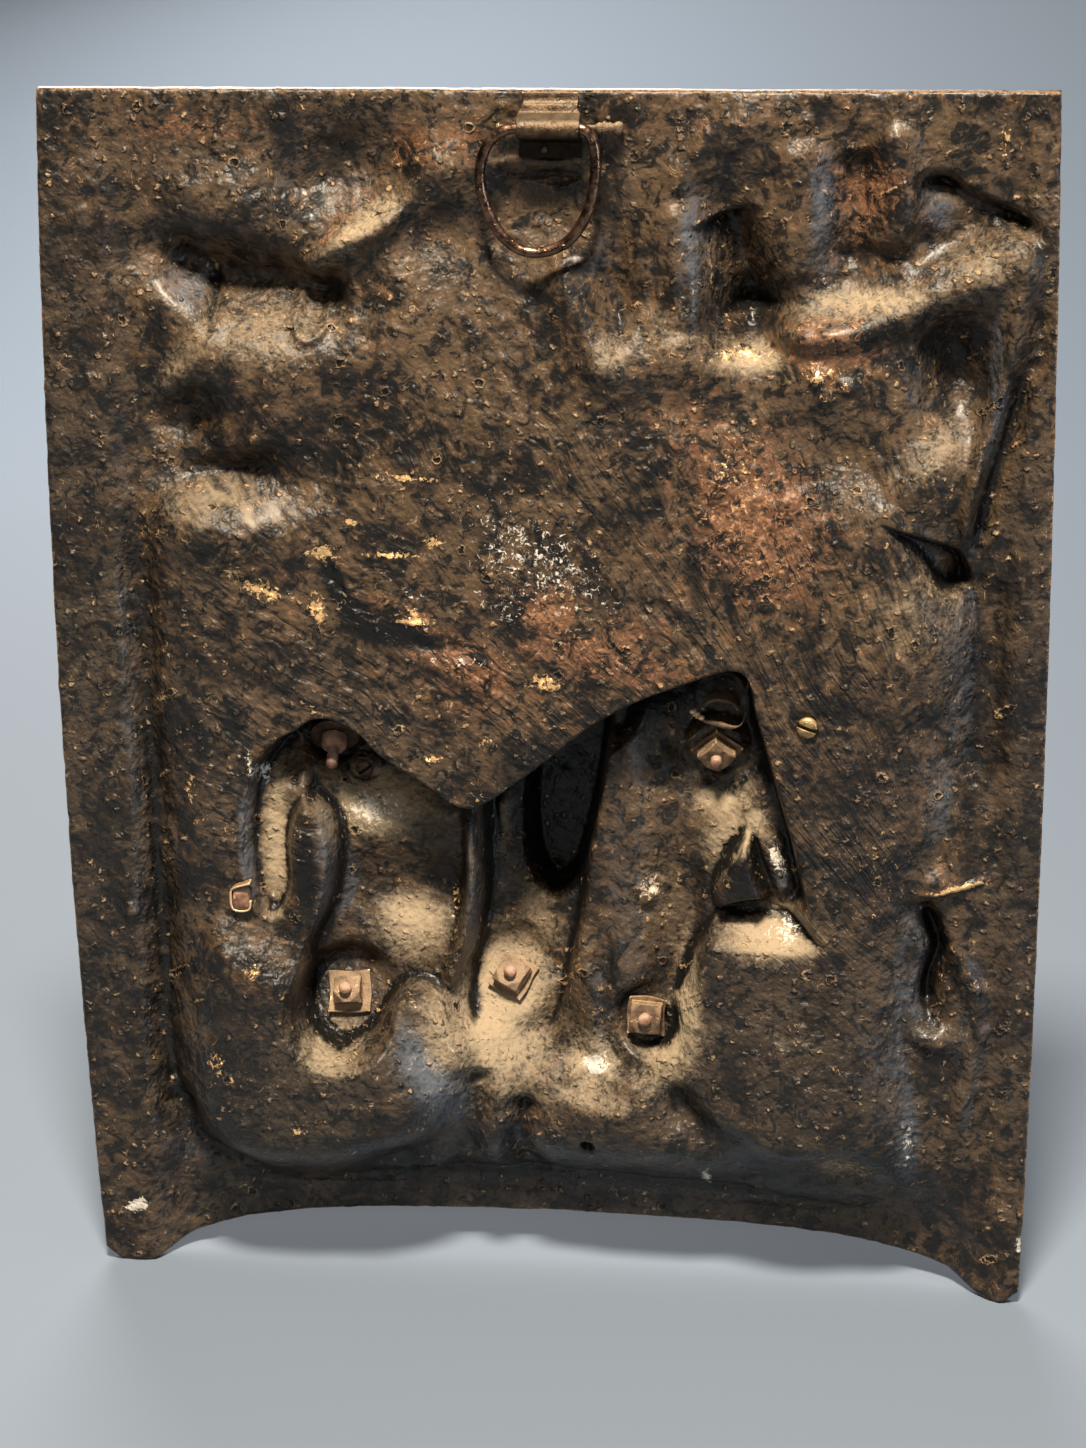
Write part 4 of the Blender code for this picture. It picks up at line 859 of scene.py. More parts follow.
slope_x = np.gradient(back_y, axis=1) / np.gradient(back_x, axis=1)
slope_z = np.gradient(back_y, axis=0) / np.gradient(back_z, axis=0)
steep = np.sqrt(1 + slope_x ** 2 + slope_z ** 2)
faces_up = blurred(slope_z / steep, 6)
faces_right = blurred(slope_x / steep, 6)
sunk = back_y - blurred(back_y, 60)
fine_sunk = back_y - blurred(back_y, 5)
brushed = brush_zone(back_x, back_z) * (1 - 0.7 * hollow)
uneven = 0.5 + 1.6 * noise(back_x / 20, back_z / 20, 71) + noise(back_x / 8, back_z / 8, 72)
masks = {
    # painted shade: darker towards the sides and the lower edge
    "shade": patches(back_x, back_z, SHADE),
    "rust": patches(back_x, back_z, RUST),
    # dust, and painted highlight on slopes that face up
    "dust": patches(back_x, back_z, DUST_AND_HIGHLIGHT) + 0.12 * soft((faces_up - 0.15) / 0.5),
    # painted sheen: bluish on what faces the cool light from the right
    "painted_cool_sheen": 0.7 * patches(back_x, back_z, PAINTED_COOL_SHEEN) + 0.35 * soft((faces_right - 0.12) / 0.45),
    "gilt": patches(back_x, back_z, GILT) + 0.35 * soft(-fine_sunk / 0.5),
    # chalky scuffs, and painted highlights on a few lit spots
    "chalk_and_highlight": patches(back_x, back_z, CHALK_AND_HIGHLIGHT),
    # soot, and painted shade in the hollows and in the skin's small pits
    "soot_and_shade": (patches(back_x, back_z, SOOT_AND_SHADE) + 0.5 * soft((sunk - 0.6) / 2.5)
             + 0.5 * soft(fine_sunk / 0.35)),
    "brushed": brushed,
    "streaks": brushed * (1.0 + 1.7 * soft(uneven)),
    "rubbed": (1 - soft(edge / 1.6)) + 0.35 * soft((-sunk - 0.7) / 2.0),
}
print("masks:", {name: round(float(mask.mean()), 2) for name, mask in masks.items()})


# %% Put the places and masks on the mesh, then thin it
FRONT_DUST, FRONT_MASK = 0.3, 0.15   # the front has each finish evenly
for name, mask in masks.items():
    values = np.full(count, FRONT_DUST if name == "dust" else FRONT_MASK)
    values[:back_count] = mask[back_order]
    attribute = casting_mesh.attributes.new(name, "FLOAT", "POINT")
    attribute.data.foreach_set("value", values.astype(np.float32))
across, along = brush_course(back_x, back_z)
course = np.zeros((count, 3))
course[:, :2] = place[:, (0, 2)]
course[:back_count, 0] = across[back_order] * MM
course[:back_count, 1] = along[back_order] * MM
attribute = casting_mesh.attributes.new("brush_course", "FLOAT_VECTOR", "POINT")
attribute.data.foreach_set("vector", course.astype(np.float32).ravel())
casting_mesh.vertices.foreach_set("co", place.ravel())
bm = bmesh.new()
bm.from_mesh(casting_mesh)
bmesh.ops.recalc_face_normals(bm, faces=bm.faces)
triangles = sum(len(f.verts) - 2 for f in bm.faces)
bm.to_mesh(casting_mesh)
bm.free()


def keep(name, mesh, material, node_names, body="plaque", smooth=True):
    """Link a finished piece, give it its material, and let it stand for its solids."""
    piece = bpy.data.objects.new(name, mesh)
    bpy.context.scene.collection.objects.link(piece)
    mesh.materials.clear()
    mesh.materials.append(material)
    if smooth:
        mesh.shade_smooth()
    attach(piece, body)
    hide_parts(*node_names)
    return piece


def settled(piece):
    """Apply a piece's modifiers."""
    bpy.context.view_layer.update()
    ready = piece.evaluated_get(bpy.context.evaluated_depsgraph_get())
    mesh = bpy.data.meshes.new_from_object(ready, preserve_all_data_layers=True,
                                           depsgraph=bpy.context.evaluated_depsgraph_get())
    piece.modifiers.clear()
    piece.data = mesh
    return piece


thin = bpy.data.objects.new("thinning", casting_mesh)
bpy.context.scene.collection.objects.link(thin)
fewer = thin.modifiers.new("fewer", "DECIMATE")
fewer.ratio = TRIANGLES / triangles
settled(thin)
casting_mesh = thin.data
bpy.data.objects.remove(thin)
casting_mesh.name = "casting"
print("casting:", triangles, "triangles thinned to", len(casting_mesh.polygons))

# %% [markdown]
# ## Finishes
#
# All the metals share a few effects, so each effect is a node group that is built once and
# placed in each material with its own values: speckles, a cast skin, fine bright threads and
# settled dust, which also paints highlight on what faces up. The shader itself stays in each
# material.

# %% Node helpers
def add(tree, kind, **settings):
    """New node, with settings on itself or on its inputs by name."""
    made = tree.nodes.new(kind)
    for key, value in settings.items():
        if hasattr(made, key):
            setattr(made, key, value)
        else:
            made.inputs[key.replace("_", " ").title()].default_value = value
    return made


def join(tree, source, target):
    """Link from one socket to another."""
    tree.links.new(source, target)


def new_group(name, inputs, outputs):
    """Shader node group with named inputs and outputs."""
    group = bpy.data.node_groups.new(name, "ShaderNodeTree")
    for label, kind, value in inputs:
        socket = group.interface.new_socket(label, in_out="INPUT", socket_type=kind)
        if value is not None:
            socket.default_value = value
    for label, kind in outputs:
        group.interface.new_socket(label, in_out="OUTPUT", socket_type=kind)
    return group, group.nodes.new("NodeGroupInput"), group.nodes.new("NodeGroupOutput")


def math_node(tree, operation, a, b=None):
    """Math on two sockets or numbers."""
    made = add(tree, "ShaderNodeMath", operation=operation)
    for index, value in enumerate((a, b)):
        if value is None:
            continue
        if isinstance(value, (int, float)):
            made.inputs[index].default_value = value
        else:
            tree.links.new(value, made.inputs[index])
    return made.outputs[0]


def ramp(tree, value, low, high, out_low=0.0, out_high=1.0):
    """Smooth step of a value from low to high."""
    made = add(tree, "ShaderNodeMapRange", interpolation_type="SMOOTHSTEP")
    for index, number in ((1, low), (2, high), (3, out_low), (4, out_high)):
        if isinstance(number, (int, float)):
            made.inputs[index].default_value = number
        else:
            tree.links.new(number, made.inputs[index])
    tree.links.new(value, made.inputs[0])
    return made.outputs[0]


def mix_colour(tree, mask, under, over):
    """Colour that goes from under to over as the mask goes from 0 to 1."""
    made = add(tree, "ShaderNodeMix", data_type="RGBA", clamp_factor=True)
    tree.links.new(mask, made.inputs[0])
    for index, value in ((6, under), (7, over)):
        if isinstance(value, tuple):
            made.inputs[index].default_value = (*value, 1)
        else:
            tree.links.new(value, made.inputs[index])
    return made.outputs[2]


def mix_value(tree, mask, under, over):
    """Number that goes from under to over as the mask goes from 0 to 1."""
    made = add(tree, "ShaderNodeMix", clamp_factor=True)
    tree.links.new(mask, made.inputs[0])
    for index, value in ((2, under), (3, over)):
        if isinstance(value, (int, float)):
            made.inputs[index].default_value = value
        else:
            tree.links.new(value, made.inputs[index])
    return made.outputs[0]


def noise_node(tree, vector, size, detail=3.0, roughness=0.55, distortion=0.0):
    """Noise texture with bumps of about one size, in millimetres."""
    made = add(tree, "ShaderNodeTexNoise", scale=1000.0 / size, detail=detail,
               roughness=roughness, distortion=distortion)
    tree.links.new(vector, made.inputs["Vector"])
    return made.outputs["Fac"]


print("node helpers ready")

# %% [markdown]
# ### Speckles
#
# Wear doesn't end in a clean line, it breaks up into specks. A noise is cut at a threshold
# that falls as the amount rises, so more of it shows where there is more wear.

# %% Effect: speckles
speckle_group, given, result = new_group(
    "speckle", [("Vector", "NodeSocketVector", None), ("Amount", "NodeSocketFloat", 0.5),
                ("Size", "NodeSocketFloat", 3.0), ("Softness", "NodeSocketFloat", 0.08)],
    [("Mask", "NodeSocketFloat")])
texture = add(speckle_group, "ShaderNodeTexNoise", detail=5.0, roughness=0.62, distortion=0.6)
join(speckle_group, given.outputs["Vector"], texture.inputs["Vector"])
per_metre = math_node(speckle_group, "DIVIDE", 1000.0, given.outputs["Size"])
join(speckle_group, per_metre, texture.inputs["Scale"])
lowered = math_node(speckle_group, "MULTIPLY", given.outputs["Amount"], 0.46)
threshold = math_node(speckle_group, "SUBTRACT", 0.80, lowered)
upper = math_node(speckle_group, "ADD", threshold, given.outputs["Softness"])
join(speckle_group, ramp(speckle_group, texture.outputs["Fac"], threshold, upper), result.inputs["Mask"])
print("group:", speckle_group.name)

# %% [markdown]
# ### The cast skin
#
# A sand casting is rough: it has a soft grain, small blisters, and here and there a pit with
# a raised lip where gas came out. A noise of many octaves would average out to felt, so the
# grain is a plain low one, and the blisters and pits sit on scattered points. A cell pattern
# gives each point a distance and a random colour, and the colour decides which points hold
# one. The cells are laid in two dimensions, because that is quicker, and the plane leans a
# little with depth, so that steep walls don't get stripes. The grain also warps the plane,
# which keeps the spots from being round.

# %% Effect: cast skin
skin_group, given, result = new_group(
    "cast_skin", [("Vector", "NodeSocketVector", None), ("Grain Size", "NodeSocketFloat", 1.2),
                  ("Lump Size", "NodeSocketFloat", 2.4), ("Crater Size", "NodeSocketFloat", 5.0)],
    [("Height", "NodeSocketFloat"), ("Crests", "NodeSocketFloat"), ("Pits", "NodeSocketFloat")])
grain = add(skin_group, "ShaderNodeTexNoise", detail=1.0, roughness=0.45)
join(skin_group, given.outputs["Vector"], grain.inputs["Vector"])
per_metre = math_node(skin_group, "DIVIDE", 1000.0, given.outputs["Grain Size"])
join(skin_group, per_metre, grain.inputs["Scale"])
WARP = 0.0024                        # metres that the grain shifts a spot
LEAN = 0.7                           # how far the plane of the spots leans with depth
warp = add(skin_group, "ShaderNodeVectorMath", operation="MULTIPLY_ADD")
warp.inputs[1].default_value = (WARP, WARP, WARP)
join(skin_group, grain.outputs["Color"], warp.inputs[0])
join(skin_group, given.outputs["Vector"], warp.inputs[2])
parts = add(skin_group, "ShaderNodeSeparateXYZ")
join(skin_group, warp.outputs[0], parts.inputs[0])
lean = math_node(skin_group, "MULTIPLY", parts.outputs["Y"], LEAN)
flat_spot = add(skin_group, "ShaderNodeCombineXYZ")
join(skin_group, math_node(skin_group, "ADD", parts.outputs["X"], lean), flat_spot.inputs[0])
join(skin_group, math_node(skin_group, "ADD", parts.outputs["Z"], lean), flat_spot.inputs[1])


def scattered(tree, vector, size):
    """Distance to the nearest of many scattered points, and two chances that each point holds."""
    cells = add(tree, "ShaderNodeTexVoronoi", voronoi_dimensions="2D")
    join(tree, vector, cells.inputs["Vector"])
    join(tree, math_node(tree, "DIVIDE", 1000.0, size), cells.inputs["Scale"])
    chance = add(tree, "ShaderNodeSeparateXYZ")
    join(tree, cells.outputs["Color"], chance.inputs[0])
    return cells.outputs["Distance"], chance.outputs["X"], chance.outputs["Y"]


away, chance, size = scattered(skin_group, flat_spot.outputs[0], given.outputs["Lump Size"])
lump = math_node(skin_group, "MULTIPLY", ramp(skin_group, away, 0.06, 0.46, 1.0, 0.0),
                 ramp(skin_group, chance, 0.70, 0.80))
lump = math_node(skin_group, "MULTIPLY", lump, ramp(skin_group, size, 0.0, 1.0, 0.35, 1.0))
away, chance, size = scattered(skin_group, flat_spot.outputs[0], given.outputs["Crater Size"])
here_and_there = ramp(skin_group, chance, 0.955, 0.965)
pit = math_node(skin_group, "MULTIPLY", ramp(skin_group, away, 0.07, 0.17, 1.0, 0.0), here_and_there)
lip = math_node(skin_group, "SUBTRACT", ramp(skin_group, away, 0.19, 0.30, 1.0, 0.0),
                ramp(skin_group, away, 0.11, 0.18, 1.0, 0.0))
lip = math_node(skin_group, "MULTIPLY", lip, here_and_there)
height = math_node(skin_group, "MULTIPLY", grain.outputs["Fac"], 1.1)
height = math_node(skin_group, "ADD", height, math_node(skin_group, "MULTIPLY", lump, 1.3))
height = math_node(skin_group, "ADD", height, math_node(skin_group, "MULTIPLY", lip, 1.2))
height = math_node(skin_group, "SUBTRACT", height, math_node(skin_group, "MULTIPLY", pit, 2.0))
join(skin_group, height, result.inputs["Height"])
crests = math_node(skin_group, "MAXIMUM", ramp(skin_group, lump, 0.42, 0.75), lip)
join(skin_group, crests, result.inputs["Crests"])
join(skin_group, pit, result.inputs["Pits"])
print("group:", skin_group.name)

# %% [markdown]
# ### Threads
#
# Fine light lines wander over the old paint, hairs from the brush and scratches. A thin line
# runs wherever a broad noise crosses its middle value.

# %% Effect: threads
thread_group, given, result = new_group(
    "threads", [("Vector", "NodeSocketVector", None), ("Size", "NodeSocketFloat", 7.0),
                ("Width", "NodeSocketFloat", 0.012)], [("Mask", "NodeSocketFloat")])
course_noise = add(thread_group, "ShaderNodeTexNoise", detail=2.0, roughness=0.5, distortion=1.6)
join(thread_group, given.outputs["Vector"], course_noise.inputs["Vector"])
per_metre = math_node(thread_group, "DIVIDE", 1000.0, given.outputs["Size"])
join(thread_group, per_metre, course_noise.inputs["Scale"])
from_middle = math_node(thread_group, "SUBTRACT", course_noise.outputs["Fac"], 0.5)
beside = math_node(thread_group, "ABSOLUTE", from_middle)
thread_mask = ramp(thread_group, beside, 0.0, given.outputs["Width"], 1.0, 0.0)
join(thread_group, thread_mask, result.inputs["Mask"])
print("group:", thread_group.name)

# %% [markdown]
# ### Settled dust and painted highlight
#
# Dust lies on what faces up, in patches, and it also paints highlight there, where the light
# from above falls. The height of the surface's normal, with a noise added, says where.

# %% Effect: settled dust and painted highlight
dust_and_highlight_group, given, result = new_group(
    "settled_dust_and_highlight", [("Vector", "NodeSocketVector", None), ("Amount", "NodeSocketFloat", 0.5)],
    [("Mask", "NodeSocketFloat")])
facing = add(dust_and_highlight_group, "ShaderNodeNewGeometry")
parts = add(dust_and_highlight_group, "ShaderNodeSeparateXYZ")
join(dust_and_highlight_group, facing.outputs["Normal"], parts.inputs[0])
patchy = noise_node(dust_and_highlight_group, given.outputs["Vector"], 3.0, 4.0)
# dust, and painted highlight: what faces up is made lighter
lying = math_node(dust_and_highlight_group, "ADD", parts.outputs["Z"], math_node(dust_and_highlight_group, "MULTIPLY", patchy, 0.9))
lying = ramp(dust_and_highlight_group, lying, 0.45, 1.15)
dust_and_highlight_mask = math_node(dust_and_highlight_group, "MULTIPLY", lying, given.outputs["Amount"])
join(dust_and_highlight_group, dust_and_highlight_mask, result.inputs["Mask"])
print("group:", dust_and_highlight_group.name)

# %% [markdown]
# ### The casting's finish
#
# Dark brown paint goes from nearly black to brown, and towards the sides and the lower edge it
# is painted darker as shade. Over it lie rust, a bluish painted sheen where the cool light
# falls, beige dust with painted highlight on lit slopes, soot with painted shade in the
# hollows, chalky scuffs with a few painted highlights, and flecks where bright metal shows. The
# tops of lumps are lighter, partly worn metal and partly painted highlight, and the pits are
# painted dark as shade. Each layer is its mask from the mesh, its border broken up by a noise
# of its own size. The bump is made of few plain parts, because a bump works out its height
# three times: the cast skin, waves of six millimetres, and the brush's hatching where the
# masks say so.

# %% Casting material
def placed(tree, group, vector, **values):
    """A group in a material, with its own values."""
    made = add(tree, "ShaderNodeGroup", node_tree=group)
    tree.links.new(vector, made.inputs["Vector"])
    for key, value in values.items():
        socket = made.inputs[key.replace("_", " ").title()]
        if isinstance(value, (int, float)):
            socket.default_value = value
        else:
            tree.links.new(value, socket)
    return made


def new_material(name):
    """Principled material, its tree, its shader and its Object coordinates."""
    material = bpy.data.materials.new(name)
    material.use_nodes = True
    tree = material.node_tree
    coordinates = tree.nodes.new("ShaderNodeTexCoord")
    return material, tree, tree.nodes["Principled BSDF"], coordinates.outputs["Object"]


def mask_of(tree, name):
    """A mask that is kept on the mesh."""
    return add(tree, "ShaderNodeAttribute", attribute_name=name).outputs["Fac"]


def layer(tree, mask, grain, low, high, blend):
    """A mask with its border broken up by a grain from 0 to 1."""
    spread = math_node(tree, "MULTIPLY", math_node(tree, "SUBTRACT", grain, 0.5), blend)
    return ramp(tree, math_node(tree, "ADD", mask, spread), low, high)


casting_paint, tree, shader, spot = new_material("casting_paint")
course = add(tree, "ShaderNodeAttribute", attribute_name="brush_course")
stretch = add(tree, "ShaderNodeVectorMath", operation="MULTIPLY")
stretch.inputs[1].default_value = (1.0, 0.20, 1.0)
join(tree, course.outputs["Vector"], stretch.inputs[0])
brushed = mask_of(tree, "brushed")
strokes = noise_node(tree, stretch.outputs[0], 2.8, 5.0, 0.64, 0.9)
skin = placed(tree, skin_group, spot, grain_size=1.9, lump_size=3.4, crater_size=8.0)
waves = noise_node(tree, spot, 6.0, 1.6, 0.5)
hatching = noise_node(tree, stretch.outputs[0], 3.0, 1.3, 0.5, 0.7)
clouds = noise_node(tree, spot, 24, 5.0, 0.62, 0.8)
flecks = noise_node(tree, spot, 6.5, 5.5, 0.68, 0.8)
crumbs = noise_node(tree, spot, 2.2, 5.0, 0.70, 1.0)
tooth = mix_value(tree, brushed, crumbs, strokes)
height = math_node(tree, "ADD", skin.outputs["Height"], math_node(tree, "MULTIPLY", waves, 2.7))
height = math_node(tree, "ADD", height, math_node(tree, "MULTIPLY", hatching, mask_of(tree, "streaks")))
shade = mask_of(tree, "shade")
height = math_node(tree, "MULTIPLY", height, ramp(tree, shade, 0.0, 1.0, 1.0, 1.5))

# painted shade: towards the sides and the lower edge the paint's lighter tone is darker, and the warm
# patches fade
light_paint = mix_colour(tree, shade, (0.064, 0.042, 0.0245), (0.040, 0.029, 0.020))
colour = mix_colour(tree, ramp(tree, clouds, 0.40, 0.60), (0.009, 0.0072, 0.006), light_paint)
warm = math_node(tree, "ADD", flecks, math_node(tree, "MULTIPLY", strokes, 0.5))
warm = math_node(tree, "MULTIPLY", ramp(tree, warm, 0.72, 0.95, 0.0, 0.75),
                 ramp(tree, shade, 0.0, 1.0, 1.0, 0.25))
colour = mix_colour(tree, warm, colour, (0.105, 0.062, 0.031))
colour = mix_colour(tree, ramp(tree, flecks, 0.42, 0.47, 0.9, 0.0), colour, (0.006, 0.0055, 0.005))
rough = mix_value(tree, clouds, 0.34, 0.56)
layers = [  # mask, grain, low, high, blend, roughness, colour
    ("rust", flecks, 0.42, 0.78, 2.4, 0.50, (0.115, 0.055, 0.028)),
    ("rust", crumbs, 0.72, 0.95, 2.8, 0.50, (0.235, 0.118, 0.060)),
    # bluish painted sheen where the cool light from the right falls
    ("painted_cool_sheen", tooth, 0.30, 1.25, 1.4, 0.42, (0.080, 0.088, 0.102)),
    # dust, and painted highlight on the lit slopes that face up
    ("dust", tooth, 0.14, 1.00, 1.3, 0.85, (0.300, 0.230, 0.148)),
    # soot and black strokes, and painted shade in the hollows and under the V-shaped edge
    ("soot_and_shade", flecks, 0.25, 0.95, 1.6, 0.40, (0.005, 0.0045, 0.004)),
    # chalky scuffs and chips, and painted highlights on a few lit spots
    ("chalk_and_highlight", crumbs, 0.66, 0.86, 2.2, 0.75, (0.560, 0.510, 0.440)),
    ("rubbed", crumbs, 0.60, 0.95, 2.6, 0.50, (0.175, 0.098, 0.045)),
]
for name, grain, low, high, blend, layer_rough, layer_colour in layers:
    lying = layer(tree, mask_of(tree, name), grain, low, high, blend)
    colour = mix_colour(tree, lying, colour, layer_colour)
    rough = mix_value(tree, lying, rough, layer_rough)
# lighter tops of lumps and lips: partly worn metal, partly painted highlight
crest = math_node(tree, "MULTIPLY", skin.outputs["Crests"], ramp(tree, flecks, 0.46, 0.62, 0.08, 0.75))
colour = mix_colour(tree, crest, colour, (0.38, 0.245, 0.125))
# painted shade: the skin's pits are painted nearly black
painted_pit_shade = math_node(tree, "MULTIPLY", skin.outputs["Pits"], 0.92)
colour = mix_colour(tree, painted_pit_shade, colour, (0.004, 0.0035, 0.003))
colour = mix_colour(tree, ramp(tree, tooth, 0.34, 0.42, 0.8, 0.0), colour, (0.005, 0.0045, 0.004))
threads = placed(tree, thread_group, spot, size=9.0, width=0.010).outputs["Mask"]
threads = math_node(tree, "MULTIPLY", threads, ramp(tree, flecks, 0.55, 0.66, 0.0, 0.7))
colour = mix_colour(tree, threads, colour, (0.46, 0.33, 0.20))
gilt = layer(tree, mask_of(tree, "gilt"), crumbs, 0.72, 0.90, 2.8)
colour = mix_colour(tree, gilt, colour, (0.72, 0.45, 0.21))
rough = mix_value(tree, gilt, rough, 0.38)
bump = add(tree, "ShaderNodeBump", strength=1.0, distance=0.0005)
join(tree, height, bump.inputs["Height"])
join(tree, colour, shader.inputs["Base Color"])
join(tree, rough, shader.inputs["Roughness"])
join(tree, math_node(tree, "MULTIPLY", gilt, 0.5), shader.inputs["Metallic"])
join(tree, bump.outputs["Normal"], shader.inputs["Normal"])
coat = math_node(tree, "MULTIPLY", ramp(tree, mask_of(tree, "dust"), 0.1, 0.5, 1.0, 0.0),
                 ramp(tree, shade, 0.0, 1.0, 0.12, 0.30))
join(tree, coat, shader.inputs["Coat Weight"])
shader.inputs["Specular IOR Level"].default_value = 0.25
shader.inputs["Coat Roughness"].default_value = 0.26
casting = keep("casting", casting_mesh, casting_paint, ["relief_panel"])
print("casting_paint:", len(tree.nodes), "nodes")

# %% [markdown]
# ### Finishes of the fittings
#
# The strap is brass gone brown, rubbed bright on its knuckle. The ring is smooth copper-brown
# wire. Nuts and washers are steel under tan dust, and the studs' ends are orange with rust.
# On every fitting the dust also paints highlight on what faces up, and creases are painted
# darker as shade. The screw on the near face is still bright. The washer in the shade is dark
# iron, and the pin and the bent strip are iron under a crust. They differ in numbers alone, so
# one function makes them all.

# %% Metals for the fittings
def fitting_metal(name, dark, light, dust, worn, roughness, metallic, wear, grain_size):
    """Old metal: two tones, settled dust and painted top highlight (colour and amount), painted shade,
    rubbed edges and a fine grain.
    """
    material, tree, shader, spot = new_material(name)
    tone = ramp(tree, noise_node(tree, spot, 4.0, 5.0, 0.6, 0.4), 0.34, 0.68)
    colour = mix_colour(tree, tone, dark, light)
    # settled dust, which also paints highlight on what faces up
    lying = placed(tree, dust_and_highlight_group, spot, amount=dust[3]).outputs["Mask"]
    colour = mix_colour(tree, lying, colour, dust[:3])
    pointed = add(tree, "ShaderNodeNewGeometry").outputs["Pointiness"]
    crest = ramp(tree, pointed, 0.515, 0.60)
    broken = placed(tree, speckle_group, spot, amount=math_node(tree, "MULTIPLY", crest, wear),
                    size=1.6, softness=0.2).outputs["Mask"]
    colour = mix_colour(tree, broken, colour, worn)
    # painted shade: darker where the surface turns inwards, in creases and corners
    colour = mix_colour(tree, ramp(tree, pointed, 0.40, 0.485, 0.85, 0.0), colour,
                        tuple(0.12 * part for part in dark))
    # painted shade: this attribute darkens the strap's tail under its knuckle and the screws' slots
    colour = mix_colour(tree, mask_of(tree, "soot_and_shade"), colour, tuple(0.15 * part for part in dark))
    rough = mix_value(tree, tone, roughness, roughness + 0.18)
    rough = mix_value(tree, lying, rough, 0.8)
    rough = mix_value(tree, broken, rough, 0.32)
    grain = placed(tree, skin_group, spot, grain_size=grain_size, lump_size=1.6, crater_size=3.2)
    bump = add(tree, "ShaderNodeBump", strength=0.6, distance=0.00025)
    join(tree, grain.outputs["Height"], bump.inputs["Height"])
    join(tree, colour, shader.inputs["Base Color"])
    join(tree, rough, shader.inputs["Roughness"])
    join(tree, mix_value(tree, lying, metallic, 0.0), shader.inputs["Metallic"])
    join(tree, bump.outputs["Normal"], shader.inputs["Normal"])
    return material


strap_brass = fitting_metal(
    "strap_brass", dark=(0.045, 0.029, 0.017), light=(0.125, 0.080, 0.044),
    dust=(0.13, 0.10, 0.066, 0.30), worn=(0.75, 0.46, 0.18),
    roughness=0.40, metallic=0.85, wear=1.2, grain_size=0.8)
ring_copper = fitting_metal(
    "ring_copper", dark=(0.10, 0.056, 0.037), light=(0.24, 0.142, 0.095),
    dust=(0.12, 0.085, 0.06, 0.08), worn=(0.60, 0.36, 0.22),
    roughness=0.20, metallic=1.0, wear=0.5, grain_size=1.5)
stud_rust = fitting_metal(
    "stud_rust", dark=(0.15, 0.070, 0.040), light=(0.38, 0.21, 0.13),
    dust=(0.44, 0.33, 0.25, 0.45), worn=(0.70, 0.48, 0.34),
    roughness=0.55, metallic=0.35, wear=1.0, grain_size=0.6)
nut_tan = fitting_metal(
    "nut_tan", dark=(0.075, 0.046, 0.027), light=(0.220, 0.140, 0.082),
    dust=(0.38, 0.27, 0.165, 0.32), worn=(0.70, 0.48, 0.27),
    roughness=0.50, metallic=0.45, wear=1.4, grain_size=0.7)
screw_brass = fitting_metal(
    "screw_brass", dark=(0.26, 0.17, 0.075), light=(0.60, 0.41, 0.19),
    dust=(0.30, 0.22, 0.13, 0.3), worn=(0.95, 0.72, 0.40),
    roughness=0.30, metallic=1.0, wear=1.2, grain_size=0.7)
dark_iron = fitting_metal(
    "dark_iron", dark=(0.030, 0.019, 0.013), light=(0.10, 0.056, 0.032),
    dust=(0.20, 0.15, 0.10, 0.5), worn=(0.40, 0.26, 0.15),
    roughness=0.45, metallic=0.6, wear=1.2, grain_size=0.6)
crusty_iron = fitting_metal(
    "crusty_iron", dark=(0.045, 0.029, 0.018), light=(0.150, 0.098, 0.058),
    dust=(0.28, 0.21, 0.13, 0.5), worn=(0.62, 0.40, 0.20),
    roughness=0.60, metallic=0.4, wear=1.4, grain_size=0.9)
metals = (strap_brass, ring_copper, stud_rust, nut_tan, screw_brass, dark_iron, crusty_iron)
print("fitting metals:", [metal.name for metal in metals])

# %% [markdown]
# ## The ring
#
# It is one length of round wire bent by hand into a loop that is flat at the top, where it
# turns in the strap, and hangs a little askew. A curve with a round bevel is the natural way:
# a smooth path through a few points, and a slight change of radius where it was hammered.

# %% Ring
WIRE_RADIUS = 1.9
RING_LOOP = [(-8, -0.1), (-2, 0), (6, 0), (14.6, 0), (18.2, -2.7), (19.6, -9), (19.1, -18),
             (16.4, -28), (10.6, -36.6), (2, -40.6), (-6.5, -39.6), (-13.6, -33), (-18, -22.5),
             (-18.8, -13), (-16.4, -5.8), (-12.3, -1.6)]


def wire(name, points, radii, closed=False, sides=8):
    """Round wire along world points, as a mesh."""
    data = bpy.data.curves.new(name, "CURVE")
    data.dimensions = "3D"
    data.bevel_depth = 1.0
    data.bevel_resolution = sides
    data.use_fill_caps = True
    spline = data.splines.new("POLY")
    spline.points.add(len(points) - 1)
    for point, where, radius in zip(spline.points, points, radii):
        point.co = (*where, 1)
        point.radius = radius * MM
    spline.use_cyclic_u = closed
    shown = bpy.data.objects.new(name, data)
    bpy.context.scene.collection.objects.link(shown)
    bpy.context.view_layer.update()
    ready = shown.evaluated_get(bpy.context.evaluated_depsgraph_get())
    mesh = bpy.data.meshes.new_from_object(ready)
    bpy.data.objects.remove(shown)
    bpy.data.curves.remove(data)
    bm = bmesh.new()
    bm.from_mesh(mesh)
    bmesh.ops.remove_doubles(bm, verts=bm.verts, dist=0.00001)
    bmesh.ops.recalc_face_normals(bm, faces=bm.faces)
    bm.to_mesh(mesh)
    bm.free()
    return mesh


